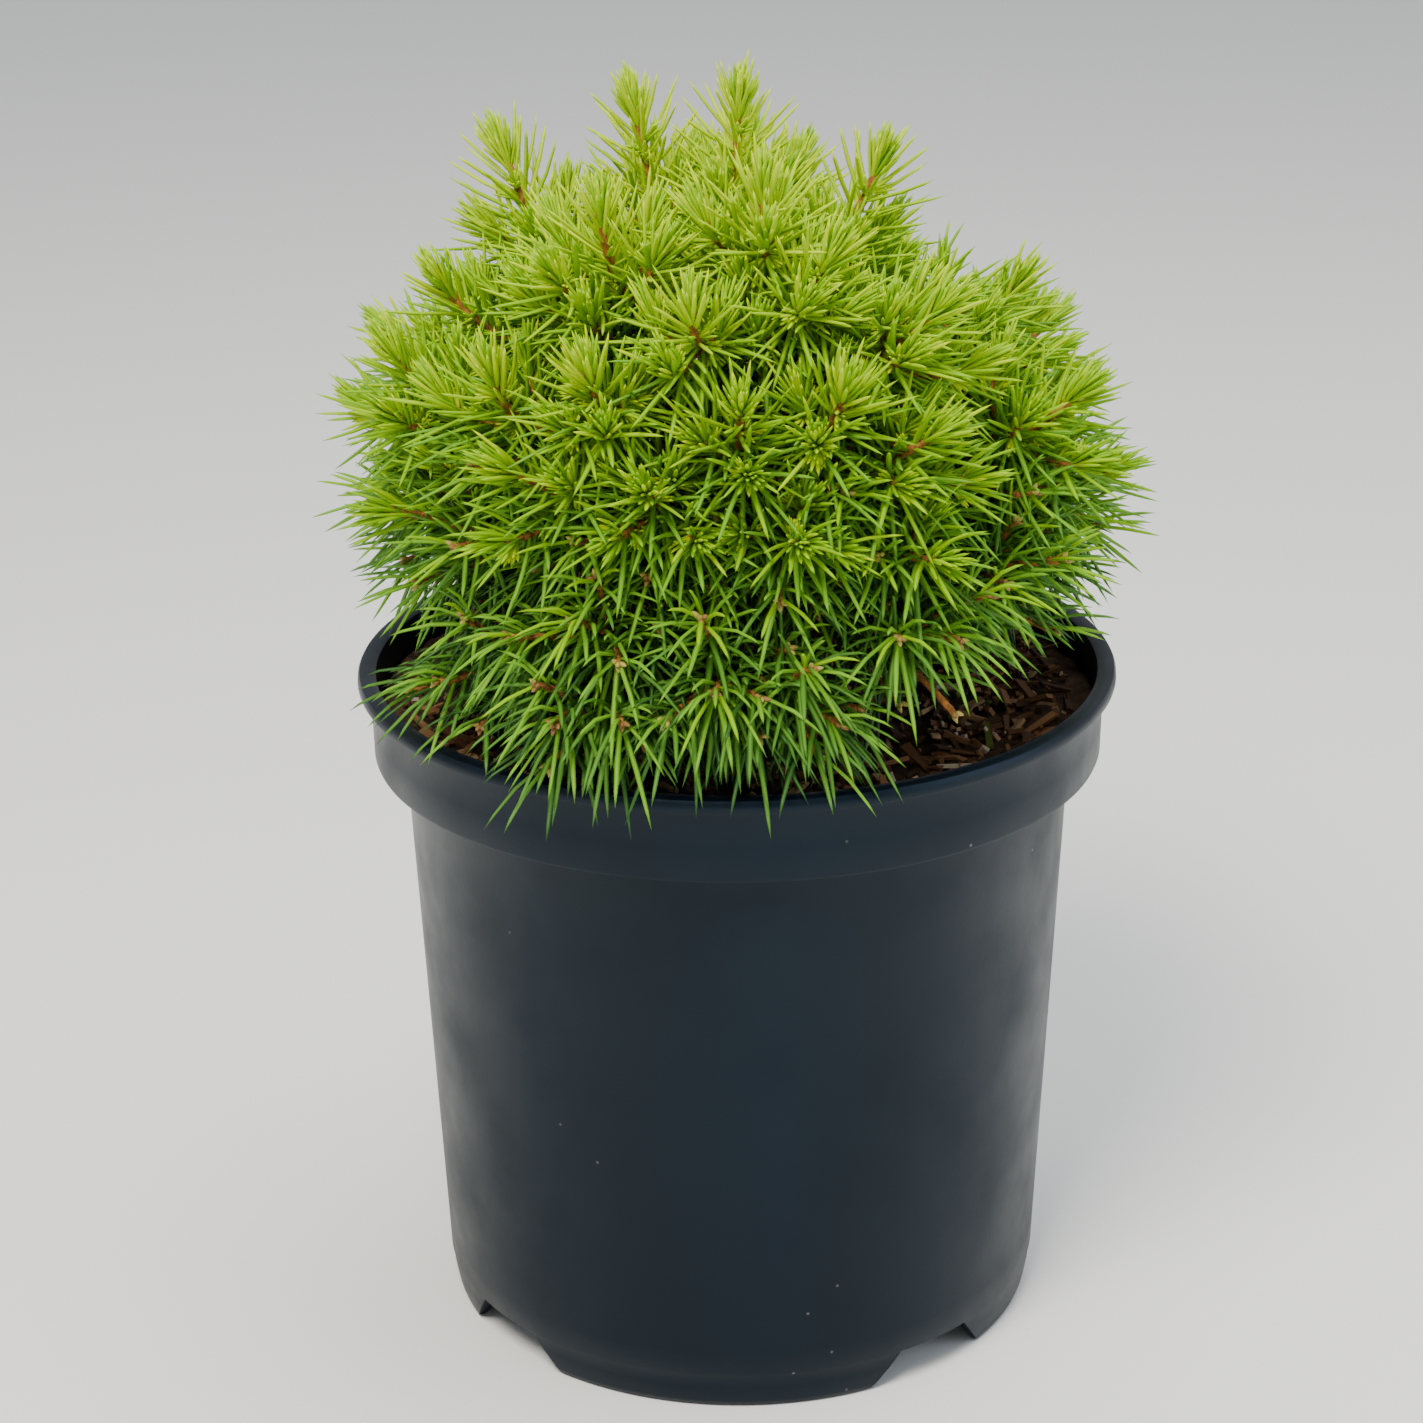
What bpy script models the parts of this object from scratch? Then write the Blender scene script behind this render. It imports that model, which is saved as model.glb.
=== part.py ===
"""Dwarf globe spruce in a round nursery pot, as separate closed solids.

Metres, Z up. The shapes are worked out round the pot's axis, and the whole plant is moved at
the end so that the origin lies on the ground, under the middle of its box.
A heading is an angle round the pot: 0 is the front (-Y), 90 the right (+X).
"""

import math
import random
from collections import namedtuple

import bmesh
import bpy
import numpy as np
from mathutils import Matrix, Vector

MM = 0.001
GAP = 0.3 * MM

# Pot
POT_HEIGHT = 153.3 * MM
LIP_RADIUS = 85.0 * MM
LIP_HEIGHT = 3.0 * MM
BAND_RADIUS_TOP = 82.3 * MM
BAND_RADIUS_BOTTOM = 81.9 * MM
BAND_BOTTOM = 133.5 * MM
BODY_RADIUS_TOP = 75.0 * MM
BODY_RADIUS_BOTTOM = 69.6 * MM
BODY_BOTTOM = 15.0 * MM
FOOT_RADIUS = 67.0 * MM
WALL = 1.6 * MM
BASE_UNDERSIDE = 8.7 * MM
BASE_THICKNESS = 2.2 * MM
FOOT_COUNT = 4
FOOT_HEADING = -6.0
NOTCH_TOP_WIDTH = 19.0 * MM
NOTCH_GROUND_WIDTH = 33.0 * MM
DRAIN_COUNT = 8
DRAIN_DIAMETER = 9.0 * MM
DRAIN_REACH = 50.0 * MM
POT_SIDES = 42

# Soil
SOIL_TOP = 144.7 * MM
SOIL_RELIEF = 1.2 * MM
SOIL_FLAT_RADIUS = 14.0 * MM
SOIL_SIDES = 30

# Trunk
TRUNK_TOP = 232.0 * MM
TRUNK_RADIUS_BASE = 5.2 * MM
TRUNK_RADIUS_TOP = 2.1 * MM
TRUNK_LEAN = Vector((2.5, 4.0, 0.0)) * MM
FLARE_RADIUS = 3.6 * MM
FLARE_HEIGHT = 7.0 * MM
FLARE_ROOTS = 5
TRUNK_SIDES = 12
TRUNK_RINGS = 10

# Boughs
BOUGH_RADIUS_ROOT_LOW = 3.0 * MM
BOUGH_RADIUS_ROOT_HIGH = 2.1 * MM
BOUGH_RADIUS_TIP = 1.6 * MM
BOUGH_SHARE = 0.5
BOUGH_ROOT_LIFT = 28.0
BOUGH_SIDES = 6
BOUGH_RINGS = 6
FORK_STEP = 4.5 * MM

# Crown: the tips of most leading shoots lie on a dome
DOME_RADIUS = 81.0 * MM
DOME_MIDDLE = 188.0 * MM
DOME_RISE = 92.0 * MM
DOME_POWER = 2.4

# Shoots and needles
STEM_RADIUS_ROOT = 1.25 * MM
STEM_RADIUS_TIP = 0.8 * MM
NEEDLE_LENGTH = 16.5 * MM
NEEDLED_LENGTH = 24.0 * MM
NEEDLE_ANGLE_LOW = 66.0
NEEDLE_ANGLE_HIGH = 27.0
RING_TWIST = 17.0
LEADER_SIDES = 4
LEADER_RINGS = 7
SIDE_SIDES = 4
SIDE_RINGS = 4
FORK_ANGLE = 45.0
SPACE_MARGIN = 0.8 * MM
MATE_CLEARANCE = 1.7 * MM
TIP_REACH = 11.0 * MM
SHRINK_STEPS = (1.0, 0.8, 0.62, 0.46)
SEED = 27
MOST_ATTEMPTS = 5

# How the side shoots of a mass stand: how far out, how far below the leader, and how many
Habit = namedtuple("Habit", "spread drop count droop")
HABITS = {
    "spire": Habit(10.0 * MM, 17.0 * MM, 3, 0.0),
    "dome": Habit(15.0 * MM, 8.0 * MM, 4, 0.0),
    "skirt": Habit(15.0 * MM, 3.0 * MM, 3, 0.25),
}

# Each bough: its name and the height at which it leaves the trunk
BOUGHS = {
    "bough_high_right": 211.0 * MM,
    "bough_front_high": 206.0 * MM,
    "bough_high_left": 201.0 * MM,
    "bough_front_right_high": 198.0 * MM,
    "bough_front_left_high": 190.0 * MM,
    "bough_back": 190.0 * MM,
    "bough_right_mid": 188.0 * MM,
    "bough_front_mid": 182.0 * MM,
    "bough_left_mid": 179.0 * MM,
    "bough_right_front": 175.0 * MM,
    "bough_right_back": 173.0 * MM,
    "bough_left_back": 170.0 * MM,
    "bough_left_front_low": 165.5 * MM,
    "bough_right_low": 164.0 * MM,
    "bough_front_low": 157.0 * MM,
}

# Each mass: its bough, or the height at which its stem leaves the trunk, its habit, the heading
# and height of its leading tip, that tip's reach (None on the dome), its lift above level, how
# far it leans round from its heading, and the turn of its first side shoot
Mass = namedtuple("Mass", "name limb habit heading height reach lift lean roll")
TRUNK_TIP = "trunk_tip"
MASSES = (
    Mass("foliage_spire_top", TRUNK_TIP, "spire", 40, 277, 2, 86, 0, 90),
    Mass("foliage_spire_middle", 221, "spire", -116, 274, 23, 77, 20, 60),
    Mass("foliage_spire_left", "bough_high_left", "spire", -96, 266, 49, 69, 4, 0),
    Mass("foliage_shoulder_left", "bough_high_left", "dome", -74, 243, 63, 60, 0, 40),
    Mass("foliage_back_high", "bough_back", "dome", 176, 260, 46, 66, 0, 0),
    Mass("foliage_spire_right", "bough_high_right", "spire", 80, 265, 31, 72, 0, 110),
    Mass("foliage_shoulder_right_back", "bough_high_right", "dome", 84, 238, 60, 58, 0, 20),
    Mass("foliage_leader_left", "bough_front_left_high", "dome", -33, 263, 49, 82, 10, 90),
    Mass("foliage_left_front", "bough_front_left_high", "dome", -41, 234, None, 68, 10, 30),
    Mass("foliage_mid_left", "bough_front_left_high", "dome", -23, 237, None, 68, -10, 60),
    Mass("foliage_leader_centre", "bough_front_high", "dome", 8, 268, 44, 84, 0, 45),
    Mass("foliage_mid_centre_upper", "bough_front_high", "dome", -7, 249, 67, 74, 0, 0),
    Mass("foliage_leader_right", "bough_front_right_high", "dome", 19, 257, 58, 60, 45, 30),
    Mass("foliage_shoulder_right", "bough_front_right_high", "dome", 37, 246, 68, 46, 30, 60),
    Mass("foliage_mid_right", "bough_front_right_high", "dome", 17, 234, None, 56, 5, 20),
    Mass("foliage_flank_left", "bough_left_mid", "dome", -68, 230, None, 58, -10, 30),
    Mass("foliage_back_left_mid", "bough_left_mid", "dome", -106, 222, None, 38, 0, 0),
    Mass("foliage_mid_centre", "bough_front_mid", "dome", 1, 232, None, 46, 0, 45),
    Mass("foliage_mid_low", "bough_front_mid", "dome", -13, 216, None, 28, 0, 90),
    Mass("foliage_centre_low", "bough_front_mid", "dome", 9, 206, None, 14, 0, 20),
    Mass("foliage_flank_right", "bough_right_mid", "dome", 66, 222, None, 45, 5, 30),
    Mass("foliage_far_right", "bough_right_mid", "dome", 80, 200, None, 24, 0, 60),
    Mass("foliage_back_mid_left", "bough_back", "dome", -150, 228, None, 42, 0, 40),
    Mass("foliage_back_mid_right", "bough_back", "dome", 158, 228, None, 42, 0, 10),
    Mass("foliage_left_back_low", "bough_left_back", "dome", -96, 189, None, 4, 0, 45),
    Mass("foliage_back_low_left", "bough_left_back", "dome", -138, 190, None, 8, 0, 0),
    Mass("foliage_back_low", "bough_left_back", "dome", -178, 190, None, 10, 0, 30),
    Mass("foliage_back_right_mid", "bough_right_back", "dome", 116, 220, None, 38, 0, 60),
    Mass("foliage_back_low_right", "bough_right_back", "dome", 142, 188, None, 8, 0, 45),
    Mass("foliage_right_back_low", "bough_right_back", "dome", 104, 184, None, 8, 0, 0),
    Mass("foliage_right_upper", "bough_right_front", "dome", 31, 224, None, 34, 20, 90),
    Mass("foliage_right_low_front", "bough_right_front", "dome", 30, 199, None, 14, 0, 30),
    Mass("foliage_right_low", "bough_right_front", "dome", 58, 190, None, 16, 0, 60),
    Mass("foliage_lower_left", "bough_left_front_low", "dome", -35, 217, None, 30, -24, 60),
    Mass("foliage_left_low", "bough_left_front_low", "dome", -62, 200, None, 12, -6, 30),
    Mass("foliage_skirt_left", "bough_left_front_low", "skirt", -52, 166, None, 4, 0, 0),
    Mass("foliage_skirt_left_upper", "bough_front_low", "skirt", -24, 188, None, 18, 0, 90),
    Mass("foliage_skirt_left_front", "bough_front_low", "skirt", -25, 168, 87, -4, 0, 30),
    Mass("foliage_skirt_centre", "bough_front_low", "skirt", -3, 176, 84, 6, 0, 0),
    Mass("foliage_skirt_right_centre", "bough_right_low", "skirt", 15, 167, 80, -4, 34, 90),
    Mass("foliage_skirt_right", "bough_right_low", "skirt", 34, 181, None, 2, 0, 60),
)

Ring = namedtuple("Ring", "centre normal radius")


def remove_scene_objects():
    for thing in list(bpy.data.objects):
        bpy.data.objects.remove(thing, do_unlink=True)


def finish(name, colour, roughness):
    """A plain material of one colour."""
    material = bpy.data.materials.new(name)
    material.use_nodes = True
    shader = material.node_tree.nodes["Principled BSDF"]
    shader.inputs["Base Color"].default_value = (*colour, 1.0)
    shader.inputs["Roughness"].default_value = roughness
    shader.inputs["Metallic"].default_value = 0.0
    return material


def add_object(name, mesh, material):
    mesh.materials.clear()
    mesh.materials.append(material)
    thing = bpy.data.objects.new(name, mesh)
    bpy.context.scene.collection.objects.link(thing)
    return thing


def mesh_of(name, vertices, faces):
    mesh = bpy.data.meshes.new(name)
    mesh.from_pydata([tuple(v) for v in vertices], [], faces)
    mesh.update()
    return mesh


def direction(heading, lift):
    turn, rise = math.radians(heading), math.radians(lift)
    level = math.cos(rise)
    return Vector((math.sin(turn) * level, -math.cos(turn) * level, math.sin(rise)))


def place(heading, reach, height):
    turn = math.radians(heading)
    return Vector((reach * math.sin(turn), -reach * math.cos(turn), height))


def mix(low, high, share):
    return low + (high - low) * share


def bezier(start, start_way, end, end_way, share):
    """A point and its direction on a smooth curve between two points with given directions."""
    handle = (end - start).length * 0.36
    a = start + start_way * handle
    b = end - end_way * handle
    rest = 1.0 - share
    point = (
        start * rest**3
        + a * (3 * rest * rest * share)
        + b * (3 * rest * share * share)
        + end * share**3
    )
    way = (a - start) * (rest * rest) + (b - a) * (2 * rest * share) + (end - b) * (share * share)
    return point, way.normalized()


# Pot and soil


def body_radius(height):
    """The pot's outer radius below its band."""
    share = (height - BODY_BOTTOM) / (BAND_BOTTOM - BODY_BOTTOM)
    return mix(BODY_RADIUS_BOTTOM, BODY_RADIUS_TOP, share)


def pot_profile():
    """Radius and height, from the middle of the underside out, up and back in to the floor."""
    floor = BASE_UNDERSIDE + BASE_THICKNESS
    lip_low = POT_HEIGHT - LIP_HEIGHT
    band_inner = BAND_RADIUS_TOP - WALL
    ledge = BAND_BOTTOM + WALL
    ring_inner = FOOT_RADIUS - WALL
    fillet = 1.0 * MM
    return (
        (0.0, BASE_UNDERSIDE),
        (ring_inner - 0.6 * MM, BASE_UNDERSIDE),
        (ring_inner, 0.0),
        (FOOT_RADIUS, 0.0),
        (FOOT_RADIUS + 1.1 * MM, 1.6 * MM),
        (FOOT_RADIUS + 1.8 * MM, 5.5 * MM),
        (BODY_RADIUS_BOTTOM, BODY_BOTTOM),
        (BODY_RADIUS_TOP, BAND_BOTTOM - fillet),
        (BODY_RADIUS_TOP + fillet, BAND_BOTTOM),
        (BAND_RADIUS_BOTTOM - fillet, BAND_BOTTOM),
        (BAND_RADIUS_BOTTOM, BAND_BOTTOM + fillet),
        (BAND_RADIUS_TOP, lip_low - 0.6 * MM),
        (LIP_RADIUS - 0.5 * MM, lip_low),
        (LIP_RADIUS, lip_low + 0.7 * MM),
        (LIP_RADIUS - 0.3 * MM, POT_HEIGHT - 0.6 * MM),
        (LIP_RADIUS - 1.1 * MM, POT_HEIGHT),
        (band_inner + 0.6 * MM, POT_HEIGHT - 0.2 * MM),
        (band_inner, POT_HEIGHT - 1.2 * MM),
        (BAND_RADIUS_BOTTOM - WALL, ledge),
        (BODY_RADIUS_TOP - WALL + 0.2 * MM, ledge),
        (BODY_RADIUS_TOP - WALL, ledge - fillet),
        (body_radius(BODY_BOTTOM) - WALL, BODY_BOTTOM),
        (FOOT_RADIUS - 1.0 * MM, floor),
        (0.0, floor),
    )


def turned(name, profile, sides):
    """A closed solid of revolution. The profile starts and ends on the axis, counterclockwise."""
    vertices, rows = [], []
    for radius, height in profile:
        if radius == 0.0:
            rows.append([len(vertices)] * sides)
            vertices.append((0.0, 0.0, height))
            continue
        rows.append([len(vertices) + k for k in range(sides)])
        for k in range(sides):
            turn = 2 * math.pi * k / sides
            vertices.append((radius * math.cos(turn), radius * math.sin(turn), height))
    faces = []
    for low, high in zip(rows, rows[1:]):
        for k in range(sides):
            corners = (low[k], low[(k + 1) % sides], high[(k + 1) % sides], high[k])
            faces.append(tuple(dict.fromkeys(corners)))
    return mesh_of(name, vertices, faces)


def notch_cutter(heading):
    """A wedge with sloped sides that cuts the wall between two feet, open to the ground."""
    near, far = FOOT_RADIUS - 6.0 * MM, FOOT_RADIUS + 8.0 * MM
    below = -4.0 * MM
    slope = (NOTCH_GROUND_WIDTH - NOTCH_TOP_WIDTH) / BASE_UNDERSIDE
    top, low = NOTCH_TOP_WIDTH / 2, (NOTCH_GROUND_WIDTH - slope * below) / 2
    outline = ((-low, below), (low, below), (top, BASE_UNDERSIDE), (-top, BASE_UNDERSIDE))
    vertices = [(x, -y, z) for y in (near, far) for x, z in outline]
    faces = [(3, 2, 1, 0), (4, 5, 6, 7)]
    faces += [(k, (k + 1) % 4, (k + 1) % 4 + 4, k + 4) for k in range(4)]
    mesh = mesh_of("notch_cutter", vertices, faces)
    mesh.transform(Matrix.Rotation(math.radians(heading), 4, "Z"))
    return mesh


def drain_cutter(heading):
    bm = bmesh.new()
    centre = place(heading, DRAIN_REACH, BASE_UNDERSIDE + BASE_THICKNESS / 2)
    bmesh.ops.create_cone(
        bm,
        cap_ends=True,
        segments=12,
        radius1=DRAIN_DIAMETER / 2,
        radius2=DRAIN_DIAMETER / 2,
        depth=BASE_THICKNESS * 3,
        matrix=Matrix.Translation(centre),
    )
    mesh = bpy.data.meshes.new("drain_cutter")
    bm.to_mesh(mesh)
    bm.free()
    return mesh


def evaluated_mesh(thing):
    graph = bpy.context.evaluated_depsgraph_get()
    return bpy.data.meshes.new_from_object(thing.evaluated_get(graph))


def shells(bm):
    """The sets of faces that hang together, smallest first."""
    found, waiting = [], set(bm.faces)
    while waiting:
        shell, front = set(), [waiting.pop()]
        while front:
            face = front.pop()
            shell.add(face)
            for edge in face.edges:
                for other in edge.link_faces:
                    if other in waiting:
                        waiting.remove(other)
                        front.append(other)
        found.append(shell)
    return sorted(found, key=len)


def keep_outer_skin(mesh):
    """Fills sealed hollows and drops loose scraps. Says whether one closed skin is left."""
    bm = bmesh.new()
    bm.from_mesh(mesh)
    bmesh.ops.triangulate(bm, faces=bm.faces[:])
    for shell in shells(bm)[:-1]:
        bmesh.ops.delete(bm, geom=list(shell), context="FACES")
    closed = all(len(edge.link_faces) == 2 for edge in bm.edges)
    bm.to_mesh(mesh)
    bm.free()
    return closed


def combine(thing, others, operation):
    """Joins a list of objects to one, or cuts them from it, and removes them. Says whether one
    closed skin came out."""
    group = bpy.data.collections.new(thing.name + "_group")
    bpy.context.scene.collection.children.link(group)
    for other in others:
        group.objects.link(other)
    boolean = thing.modifiers.new("combine", "BOOLEAN")
    boolean.operation = operation
    boolean.operand_type = "COLLECTION"
    boolean.collection = group
    for solver in ("EXACT", "MANIFOLD"):
        boolean.solver = solver
        mesh = evaluated_mesh(thing)
        whole = keep_outer_skin(mesh)
        if whole:
            break
    thing.modifiers.clear()
    thing.data = mesh
    for other in others:
        bpy.data.objects.remove(other, do_unlink=True)
    bpy.data.collections.remove(group)
    return whole


def make_pot(material):
    pot = add_object("pot", turned("pot", pot_profile(), POT_SIDES), material)
    step = 360.0 / FOOT_COUNT
    cutters = [notch_cutter(FOOT_HEADING + step * (k + 0.5)) for k in range(FOOT_COUNT)]
    cutters += [drain_cutter(FOOT_HEADING + 360.0 * k / DRAIN_COUNT) for k in range(DRAIN_COUNT)]
    combine(pot, [add_object("cutter", mesh, material) for mesh in cutters], "DIFFERENCE")
    pot.data.shade_smooth()
    pot.data.set_sharp_from_angle(angle=math.radians(35))
    return pot


def soil_height(x, y):
    """The soil's uneven surface, flat round the trunk."""
    reach = math.hypot(x, y)
    share = min(1.0, max(0.0, (reach - SOIL_FLAT_RADIUS) / SOIL_FLAT_RADIUS))
    waves = math.sin(x * 95 + 1.0) * math.cos(y * 120) + 0.5 * math.sin((x - y) * 170)
    return SOIL_TOP + SOIL_RELIEF * share * waves / 1.5


def make_soil(material):
    """The filling of the pot, clear of its wall by the gap all round."""
    floor = BASE_UNDERSIDE + BASE_THICKNESS + GAP
    side = WALL + GAP
    ledge = BAND_BOTTOM + WALL + GAP
    band = BAND_RADIUS_BOTTOM - side
    profile = [
        (0.0, floor),
        (FOOT_RADIUS - 1.2 * MM - GAP, floor),
        (BODY_RADIUS_BOTTOM - side, BODY_BOTTOM),
        (BODY_RADIUS_TOP - side, ledge - 1.5 * MM),
        (BODY_RADIUS_TOP - side, ledge),
        (band, ledge),
    ]
    profile += [(band * share, SOIL_TOP) for share in (1.0, 0.82, 0.62, 0.42, 0.2)]
    profile.append((0.0, SOIL_TOP))
    mesh = turned("soil", profile, SOIL_SIDES)
    for vertex in mesh.vertices:
        if vertex.co.z == mesh.vertices[-1].co.z:
            vertex.co.z = soil_height(vertex.co.x, vertex.co.y)
    soil = add_object("soil", mesh, material)
    soil.data.shade_smooth()
    soil.data.set_sharp_from_angle(angle=math.radians(35))
    return soil


# Limbs


def frames(rings):
    """Two directions across each ring, carried along without twisting."""
    across = rings[0].normal.orthogonal().normalized()
    for ring in rings:
        across = (across - ring.normal * across.dot(ring.normal)).normalized()
        yield across, ring.normal.cross(across)


def ring_points(ring, pair, sides, turn=0.0, shape=None):
    points = []
    for k in range(sides):
        angle = 2 * math.pi * k / sides + turn
        radius = ring.radius * (shape(angle) if shape else 1.0)
        points.append(
            ring.centre + pair[0] * (math.cos(angle) * radius) + pair[1] * (math.sin(angle) * radius)
        )
    return points


def tube(name, rings, sides, shapes=None):
    """A closed limb through the rings, with flat ends."""
    vertices, faces = [], []
    for index, (ring, pair) in enumerate(zip(rings, frames(rings))):
        vertices += ring_points(ring, pair, sides, shape=shapes[index] if shapes else None)
    for row in range(len(rings) - 1):
        for k in range(sides):
            low, high = row * sides, (row + 1) * sides
            faces.append((low + k, low + (k + 1) % sides, high + (k + 1) % sides, high + k))
    faces.append(tuple(range(sides - 1, -1, -1)))
    last = (len(rings) - 1) * sides
    faces.append(tuple(range(last, last + sides)))
    return mesh_of(name, vertices, faces)


def trunk_point(height):
    """The trunk's axis: it leans a little and straightens."""
    share = (height - SOIL_TOP) / (TRUNK_TOP - SOIL_TOP)
    return TRUNK_LEAN * (share * (1.6 - 0.6 * share)) + Vector((0.0, 0.0, height))


def trunk_radius(height):
    share = (height - SOIL_TOP) / (TRUNK_TOP - SOIL_TOP)
    flare = FLARE_RADIUS * math.exp(-(height - SOIL_TOP) / FLARE_HEIGHT * 2.2)
    return mix(TRUNK_RADIUS_BASE, TRUNK_RADIUS_TOP, share) + flare


def make_trunk(material):
    rings, shapes = [], []
    for k in range(TRUNK_RINGS):
        share = (k / (TRUNK_RINGS - 1)) ** 1.5
        height = mix(SOIL_TOP + GAP, TRUNK_TOP, share)
        rings.append(Ring(trunk_point(height), Vector((0.0, 0.0, 1.0)), trunk_radius(height)))
        bulge = 0.16 * math.exp(-(height - SOIL_TOP) / FLARE_HEIGHT)
        shapes.append(lambda angle, bulge=bulge: 1.0 + bulge * math.cos(FLARE_ROOTS * angle) - bulge)
    trunk = add_object("trunk", tube("trunk", rings, TRUNK_SIDES, shapes), material)
    trunk.data.shade_smooth()
    trunk.data.set_sharp_from_angle(angle=math.radians(50))
    return trunk


def dome_reach(height):
    share = min(1.0, abs(height - DOME_MIDDLE) / DOME_RISE)
    return DOME_RADIUS * (1.0 - share**DOME_POWER) ** (1.0 / DOME_POWER)


def mass_tip(mass):
    """The tip of a mass's leading shoot, and its direction there."""
    height = mass.height * MM
    reach = dome_reach(height) if mass.reach is None else mass.reach * MM
    return place(mass.heading, reach, height), direction(mass.heading + mass.lean, mass.lift)


def side_root(axis_point, axis_way, radius, towards, ring_radius):
    """The ring by which a limb sits on the side of another, flat against it and the gap clear."""
    out = towards - axis_way * towards.dot(axis_way)
    out.normalize()
    return Ring(axis_point + out * (radius + GAP), out, ring_radius)


class Limb:
    """A curve with a radius along it, from a flat seat to a tip."""

    def __init__(self, seat, start_way, tip, tip_way, tip_radius):
        self.seat = seat
        self.start_way = start_way
        self.tip = tip
        self.tip_way = tip_way
        self.tip_radius = tip_radius

    def at(self, share):
        return bezier(self.seat.centre, self.start_way, self.tip, self.tip_way, share)

    def radius(self, share):
        return mix(self.seat.radius, self.tip_radius, share)

    def rings(self, shares):
        """The seat, and then a ring across the curve at each share."""
        found = [self.seat]
        for share in shares:
            point, way = self.at(share)
            found.append(Ring(point, way, self.radius(share)))
        return found

    def samples(self, count, beyond=0.0):
        points = [self.at(k / count)[0] for k in range(count + 1)]
        if beyond:
            points.append(self.tip + self.tip_way * beyond)
        return points

    def length(self):
        points = self.samples(12)
        return sum((b - a).length for a, b in zip(points, points[1:]))


def bough_root_radius(height):
    return mix(BOUGH_RADIUS_ROOT_LOW, BOUGH_RADIUS_ROOT_HIGH, (height - SOIL_TOP) / (TRUNK_TOP - SOIL_TOP))


def make_bough_limb(name):
    """A bough goes part of the way from the trunk to the middle of the masses it carries."""
    height = BOUGHS[name]
    tips = [mass_tip(mass)[0] for mass in MASSES if mass.limb == name]
    middle = sum(tips, Vector()) / len(tips)
    axis = trunk_point(height)
    level = Vector((middle.x - axis.x, middle.y - axis.y, 0.0)).normalized()
    up = Vector((0.0, 0.0, 1.0))
    seat = side_root(axis, up, trunk_radius(height), level, bough_root_radius(height))
    rise = math.radians(BOUGH_ROOT_LIFT)
    start_way = level * math.cos(rise) + Vector((0.0, 0.0, math.sin(rise)))
    tip = axis.lerp(middle, BOUGH_SHARE)
    return Limb(seat, start_way, tip, (middle - tip).normalized(), BOUGH_RADIUS_TIP)


def make_stem_limb(mass, boughs):
    """A mass's stem: on from its bough's tip if it is the nearest in line, or off its side."""
    tip, tip_way = mass_tip(mass)
    if mass.limb == TRUNK_TIP:
        foot = trunk_point(TRUNK_TOP) + Vector((0.0, 0.0, GAP))
        seat = Ring(foot, Vector((0.0, 0.0, 1.0)), STEM_RADIUS_ROOT)
        return Limb(seat, seat.normal, tip, tip_way, STEM_RADIUS_TIP)
    if mass.limb not in boughs:
        height = mass.limb * MM
        axis, way = trunk_point(height), Vector((0.0, 0.0, 1.0))
        seat = side_root(axis, way, trunk_radius(height), tip - axis, STEM_RADIUS_ROOT)
        return Limb(seat, (seat.normal + way).normalized(), tip, tip_way, STEM_RADIUS_TIP)
    bough = boughs[mass.limb]
    mates = [other for other in MASSES if other.limb == mass.limb]
    mates.sort(key=lambda other: (mass_tip(other)[0] - bough.tip).angle(bough.tip_way))
    order = mates.index(mass)
    if order == 0:
        seat = Ring(bough.tip + bough.tip_way * GAP, bough.tip_way, STEM_RADIUS_ROOT)
        return Limb(seat, bough.tip_way, tip, tip_way, STEM_RADIUS_TIP)
    share = 1.0 - order * FORK_STEP / bough.length()
    axis, way = bough.at(share)
    seat = side_root(axis, way, bough.radius(share), tip - axis, STEM_RADIUS_ROOT)
    return Limb(seat, (seat.normal + way).normalized(), tip, tip_way, STEM_RADIUS_TIP)


# The space of each mass


def polyline(points):
    starts = np.array([tuple(p) for p in points[:-1]])
    ends = np.array([tuple(p) for p in points[1:]])
    return starts, ends


def distances(point, starts, ends):
    """How far a point is from each of many straight pieces."""
    along = ends - starts
    offset = np.array(tuple(point)) - starts
    share = np.clip((offset * along).sum(1) / (along * along).sum(1), 0.0, 1.0)
    return np.linalg.norm(offset - along * share[:, None], axis=1)


class Space:
    """Says whether a point belongs to a mass: nearer to its stem than to any other, and clear of
    the trunk, the boughs, the soil and the pot."""

    def __init__(self, boughs, stems):
        starts, ends, owners = [], [], []
        for index, stem in enumerate(stems):
            a, b = polyline(stem.samples(6, TIP_REACH))
            starts.append(a)
            ends.append(b)
            owners += [index] * len(a)
        self.starts, self.ends = np.concatenate(starts), np.concatenate(ends)
        self.owners = np.array(owners)
        wood_starts, wood_ends, radii = [], [], []
        for bough in boughs:
            a, b = polyline(bough.samples(8))
            wood_starts.append(a)
            wood_ends.append(b)
            radii += [bough.seat.radius] * len(a)
        heights = [mix(SOIL_TOP, TRUNK_TOP, k / 8) for k in range(9)]
        a, b = polyline([trunk_point(height) for height in heights])
        wood_starts.append(a)
        wood_ends.append(b)
        radii += [trunk_radius(height) for height in heights[:-1]]
        self.wood_starts, self.wood_ends = np.concatenate(wood_starts), np.concatenate(wood_ends)
        self.wood_radii = np.array(radii)

    def clear_of_wood(self, point, extra):
        away = distances(point, self.wood_starts, self.wood_ends) - self.wood_radii
        return away.min() > extra + GAP

    def clear_of_pot(self, point, extra):
        reach = math.hypot(point.x, point.y)
        clear = extra + 2 * GAP
        if reach < BAND_RADIUS_TOP - WALL - clear:
            return point.z > SOIL_TOP + SOIL_RELIEF + clear
        if reach < LIP_RADIUS + clear:
            return point.z > POT_HEIGHT + clear
        return point.z > BAND_BOTTOM

    def holds(self, owner, point, extra=0.0):
        away = distances(point, self.starts, self.ends)
        own = away[self.owners == owner].min()
        nearest_other = away[self.owners != owner].min()
        return (
            nearest_other > own + SPACE_MARGIN + extra
            and self.clear_of_wood(point, extra)
            and self.clear_of_pot(point, extra)
        )


# Shoots with needles


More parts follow.
